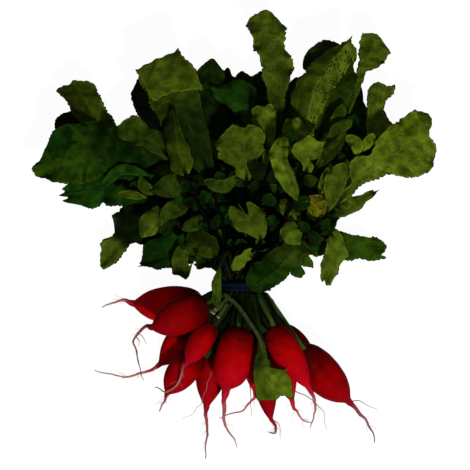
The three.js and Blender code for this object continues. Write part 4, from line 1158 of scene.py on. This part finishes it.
def leafShape(leaf, number):
    width, end, specks = leaf["width"], leaf["end"], leaf["specks"]
    return {
        **leaf,
        "edges": leaf.get("edges") or scaledForm(leaf["form"], width),
        "end": bladeEnds[end] if isinstance(end, str) else end,
        "wave": leaf["wave"] * min(1.0, width / 26),
        "scale": min(1.0, max(0.5, width / 30)),
        "cell": leafBuild["cell"] if width > 17 else leafBuild["smallCell"],
        "specks": specks if isinstance(specks, tuple) else (specks, specks),
        "seed": number,
    }


def makeLeaflet(points, width, shape, face, rng):
    form, end, fold = shape.get("lobe", ("oval", "round", 8))
    small = dict(shape, **lobeBuild["shape"], width=width, edges=scaledForm(form, width),
                 end=bladeEnds[end], fold=fold)
    spine = Spine(points, 12)
    return makeBlade(spine, (0, 1), spine.twistTo(0.5, face), 1e-3, small, rng)


def makeLeaflets(spine, bladeShare, leaf, shape, rng):
    build = lobeBuild
    parts = [makeLeaflet([start, middle, end], width, dict(shape, tone=tone, baseTone=tone), up, rng)
             for start, middle, end, width, tone in leaf["leaflets"]]
    shares = np.linspace(0, bladeShare, 200)
    points = spine.points(shares)
    fromTie = np.linalg.norm(points - tie, axis=1)
    free = shares[(fromTie > build["from"]) & (points[:, 1] > build["bandClear"])]
    if len(free) < 4 or leaf.get("bare"):
        return parts
    pairs = int(spine.length(free[0], bladeShare) / build["spacing"])
    for k, sign in ((k, sign) for k in range(pairs) for sign in (-1, 1)):
        if rng.uniform() < build["missing"]:
            continue
        share = free[0] + (bladeShare - free[0]) * (k + 0.6) / (pairs + 0.2)
        point, tangent, normal, side = (v[0] for v in spine.frames([share + rng.uniform(-0.004, 0.004)]))
        size = rng.uniform(*build["size"]) + 4 * k / pairs
        way = unit(side * sign * rng.uniform(0.4, 0.9) + tangent * 0.5 + normal * rng.uniform(0, 0.3))
        droop = np.array([0, 0, -1.0]) * size * rng.uniform(0.0, 0.25)
        places = [point, point + way * size * 0.5, point + way * size + droop]
        tone = str(rng.choice(build["tones"]))
        lobe = (str(rng.choice(build["forms"])), str(rng.choice(build["ends"])), rng.uniform(*build["fold"]))
        shaded = dict(shape, tone=tone, baseTone="deep", specks=(0, 0), lobe=lobe)
        parts.append(makeLeaflet(places, size * rng.uniform(*build["width"]), shaded, normal, rng))
    return parts


def bareStalk(points, **settings):
    return makeStalk(Spine(points), sproutBuild["stalkShare"], 0.0, filledIn(settings))


def makeSprouts(leaf, number):
    # bare stalks crowd a crown beside the leaf's own stalk and end under the band
    if "radish" not in leaf:
        return []
    build = sproutBuild
    rng = np.random.default_rng(seeds["sprouts"] + number)
    foot, lift = rootedStalk(leaf)[:2]
    x, z = slotPlace(leaf["slot"])
    axis = unit(lift - foot)
    parts = []
    for sign in (-1, 1):
        aside = np.cross(axis, up) * sign * build["spread"] * rng.uniform(*build["spreading"])
        end = np.array([x + sign * rng.uniform(*build["endApart"]), 1 - tieReach,
                        z + rng.uniform(*build["endRise"])])
        start = foot + aside - axis * build["rooted"]
        bend = start + axis * rng.uniform(*build["bend"]) + aside * 0.3
        colour = build["colours"][rng.integers(0, len(build["colours"]))]
        parts.append(bareStalk([start, bend, bend * 0.35 + end * 0.65, end], tone="shade",
                               radish=leaf["radish"], stalkTone=colour))
    return parts


def makeStubs(leaf):
    # short ends of stalks whose leaves were cut away
    return [bareStalk([start, (np.array(start) + end) / 2, end], tone="olive", cut=True,
                      stalkTone=leaf["stubTone"], thickness=radius / leafBuild["stalkRadius"])
            for start, end, radius in leaf["stubs"]]


def makeLeaf(number, leaf, material):
    rng = np.random.default_rng(seeds["leaf"] + number)
    points, bladeShare = leafRoute(leaf)
    spine = Spine(points)
    twist = spine.twistTo((1 + bladeShare) / 2, leaf["face"])
    shape = leafShape(leaf, number)
    parts = [makeStalk(spine, bladeShare, twist, leaf),
             makeBlade(spine, (bladeShare, 1), twist, bladeShare, shape, rng)]
    parts += makeLeaflets(spine, bladeShare, leaf, shape, rng) + makeSprouts(leaf, number) + makeStubs(leaf)
    return makePiece("radishLeaf%02d" % number, parts, material, ["leaf_%02d" % number])


leafTissue = makeLeafTissue(leafLook)
for number, leaf in enumerate(leaves, 1):
    makeLeaf(number, filledIn(leaf), leafTissue)
print("leaves made")


# ---- table, light and camera

viewLook = {
    "centre": (-7.2, 37.4),  # mm from the tie
    "width": 338.4,  # mm across the view at the height of the upper leaves
    "height": 40.0,
    "lens": 180.0,
    "sensor": 36.0,
    "clipEnd": 20.0,  # m
}
tableLook = {"colour": "#585858", "glow": 0.96, "reach": 6.0, "gap": 0.0002}  # m
lightLook = {
    "key": {"place": (0.4, -0.95, 1.75), "size": 0.25, "energy": 29.0},
    "fill": {"place": (-0.3, 0.2, 2.0), "size": 0.8, "energy": 2.5},
    "sky": 0.1,
}


def makeTable(look):
    # the table glows where it is seen, and only its dull colour lights the bunch from below
    material, tree = newMaterial("paleTable")
    paths = addNode(tree, "ShaderNodeLightPath", {}).outputs
    seen = mathsOf(tree, "MAXIMUM", paths["Is Camera Ray"], paths["Is Glossy Ray"])
    seen = mathsOf(tree, "MAXIMUM", seen, paths["Is Transmission Ray"])
    shade = addNode(tree, "ShaderNodeBsdfDiffuse", {"Color": linearColour(look["colour"])})
    bright = addNode(tree, "ShaderNodeEmission",
                     {"Color": (1, 1, 1, 1), "Strength": mathsOf(tree, "MULTIPLY", seen, look["glow"])})
    both = addNode(tree, "ShaderNodeAddShader", {0: shade.outputs["BSDF"], 1: bright.outputs["Emission"]})
    addNode(tree, "ShaderNodeOutputMaterial", {"Surface": both.outputs["Shader"]})
    mesh = bpy.data.meshes.new("table")
    reach = look["reach"]
    mesh.from_pydata([(-reach, -reach, 0), (reach, -reach, 0), (reach, reach, 0), (-reach, reach, 0)], [],
                     [(0, 1, 2, 3)])
    mesh.materials.append(material)
    table = placed("table", mesh)
    table.location.z = -look["gap"]


def makeLamp(name, look):
    data = bpy.data.lights.new(name, "AREA")
    data.shape = "DISK"
    data.size = look["size"]
    data.energy = look["energy"]
    lamp = placed(name, data)
    lamp.location = look["place"]
    lamp.rotation_euler = (-lamp.location).to_track_quat("-Z", "Y").to_euler()


def makeWorld(strength):
    world = bpy.data.worlds.new("sky")
    world.use_nodes = True
    tree = world.node_tree
    tree.nodes.clear()
    seen = addNode(tree, "ShaderNodeLightPath", {}).outputs["Is Camera Ray"]
    background = addNode(tree, "ShaderNodeBackground",
                         {"Color": (1, 1, 1, 1), "Strength": mapped(tree, seen, 0.0, 1.0, strength, 1.0)})
    addNode(tree, "ShaderNodeOutputWorld", {"Surface": background.outputs["Background"]})
    bpy.context.scene.world = world


def makeCamera(look):
    data = bpy.data.cameras.new("viewer")
    data.lens = look["lens"]
    data.sensor_width = look["sensor"]
    data.clip_end = look["clipEnd"]
    camera = placed("viewer", data)
    distance = look["width"] * look["lens"] / look["sensor"]
    place = np.array([look["centre"][0], look["centre"][1], look["height"] + distance]) + bunchShift
    camera.location = (place * metresPerMm).tolist()
    bpy.context.scene.camera = camera


makeTable(tableLook)
makeLamp("keyLamp", lightLook["key"])
makeLamp("fillLamp", lightLook["fill"])
makeWorld(lightLook["sky"])
makeCamera(viewLook)
bpy.context.scene.view_settings.view_transform = "Standard"
print("table, light and camera made")
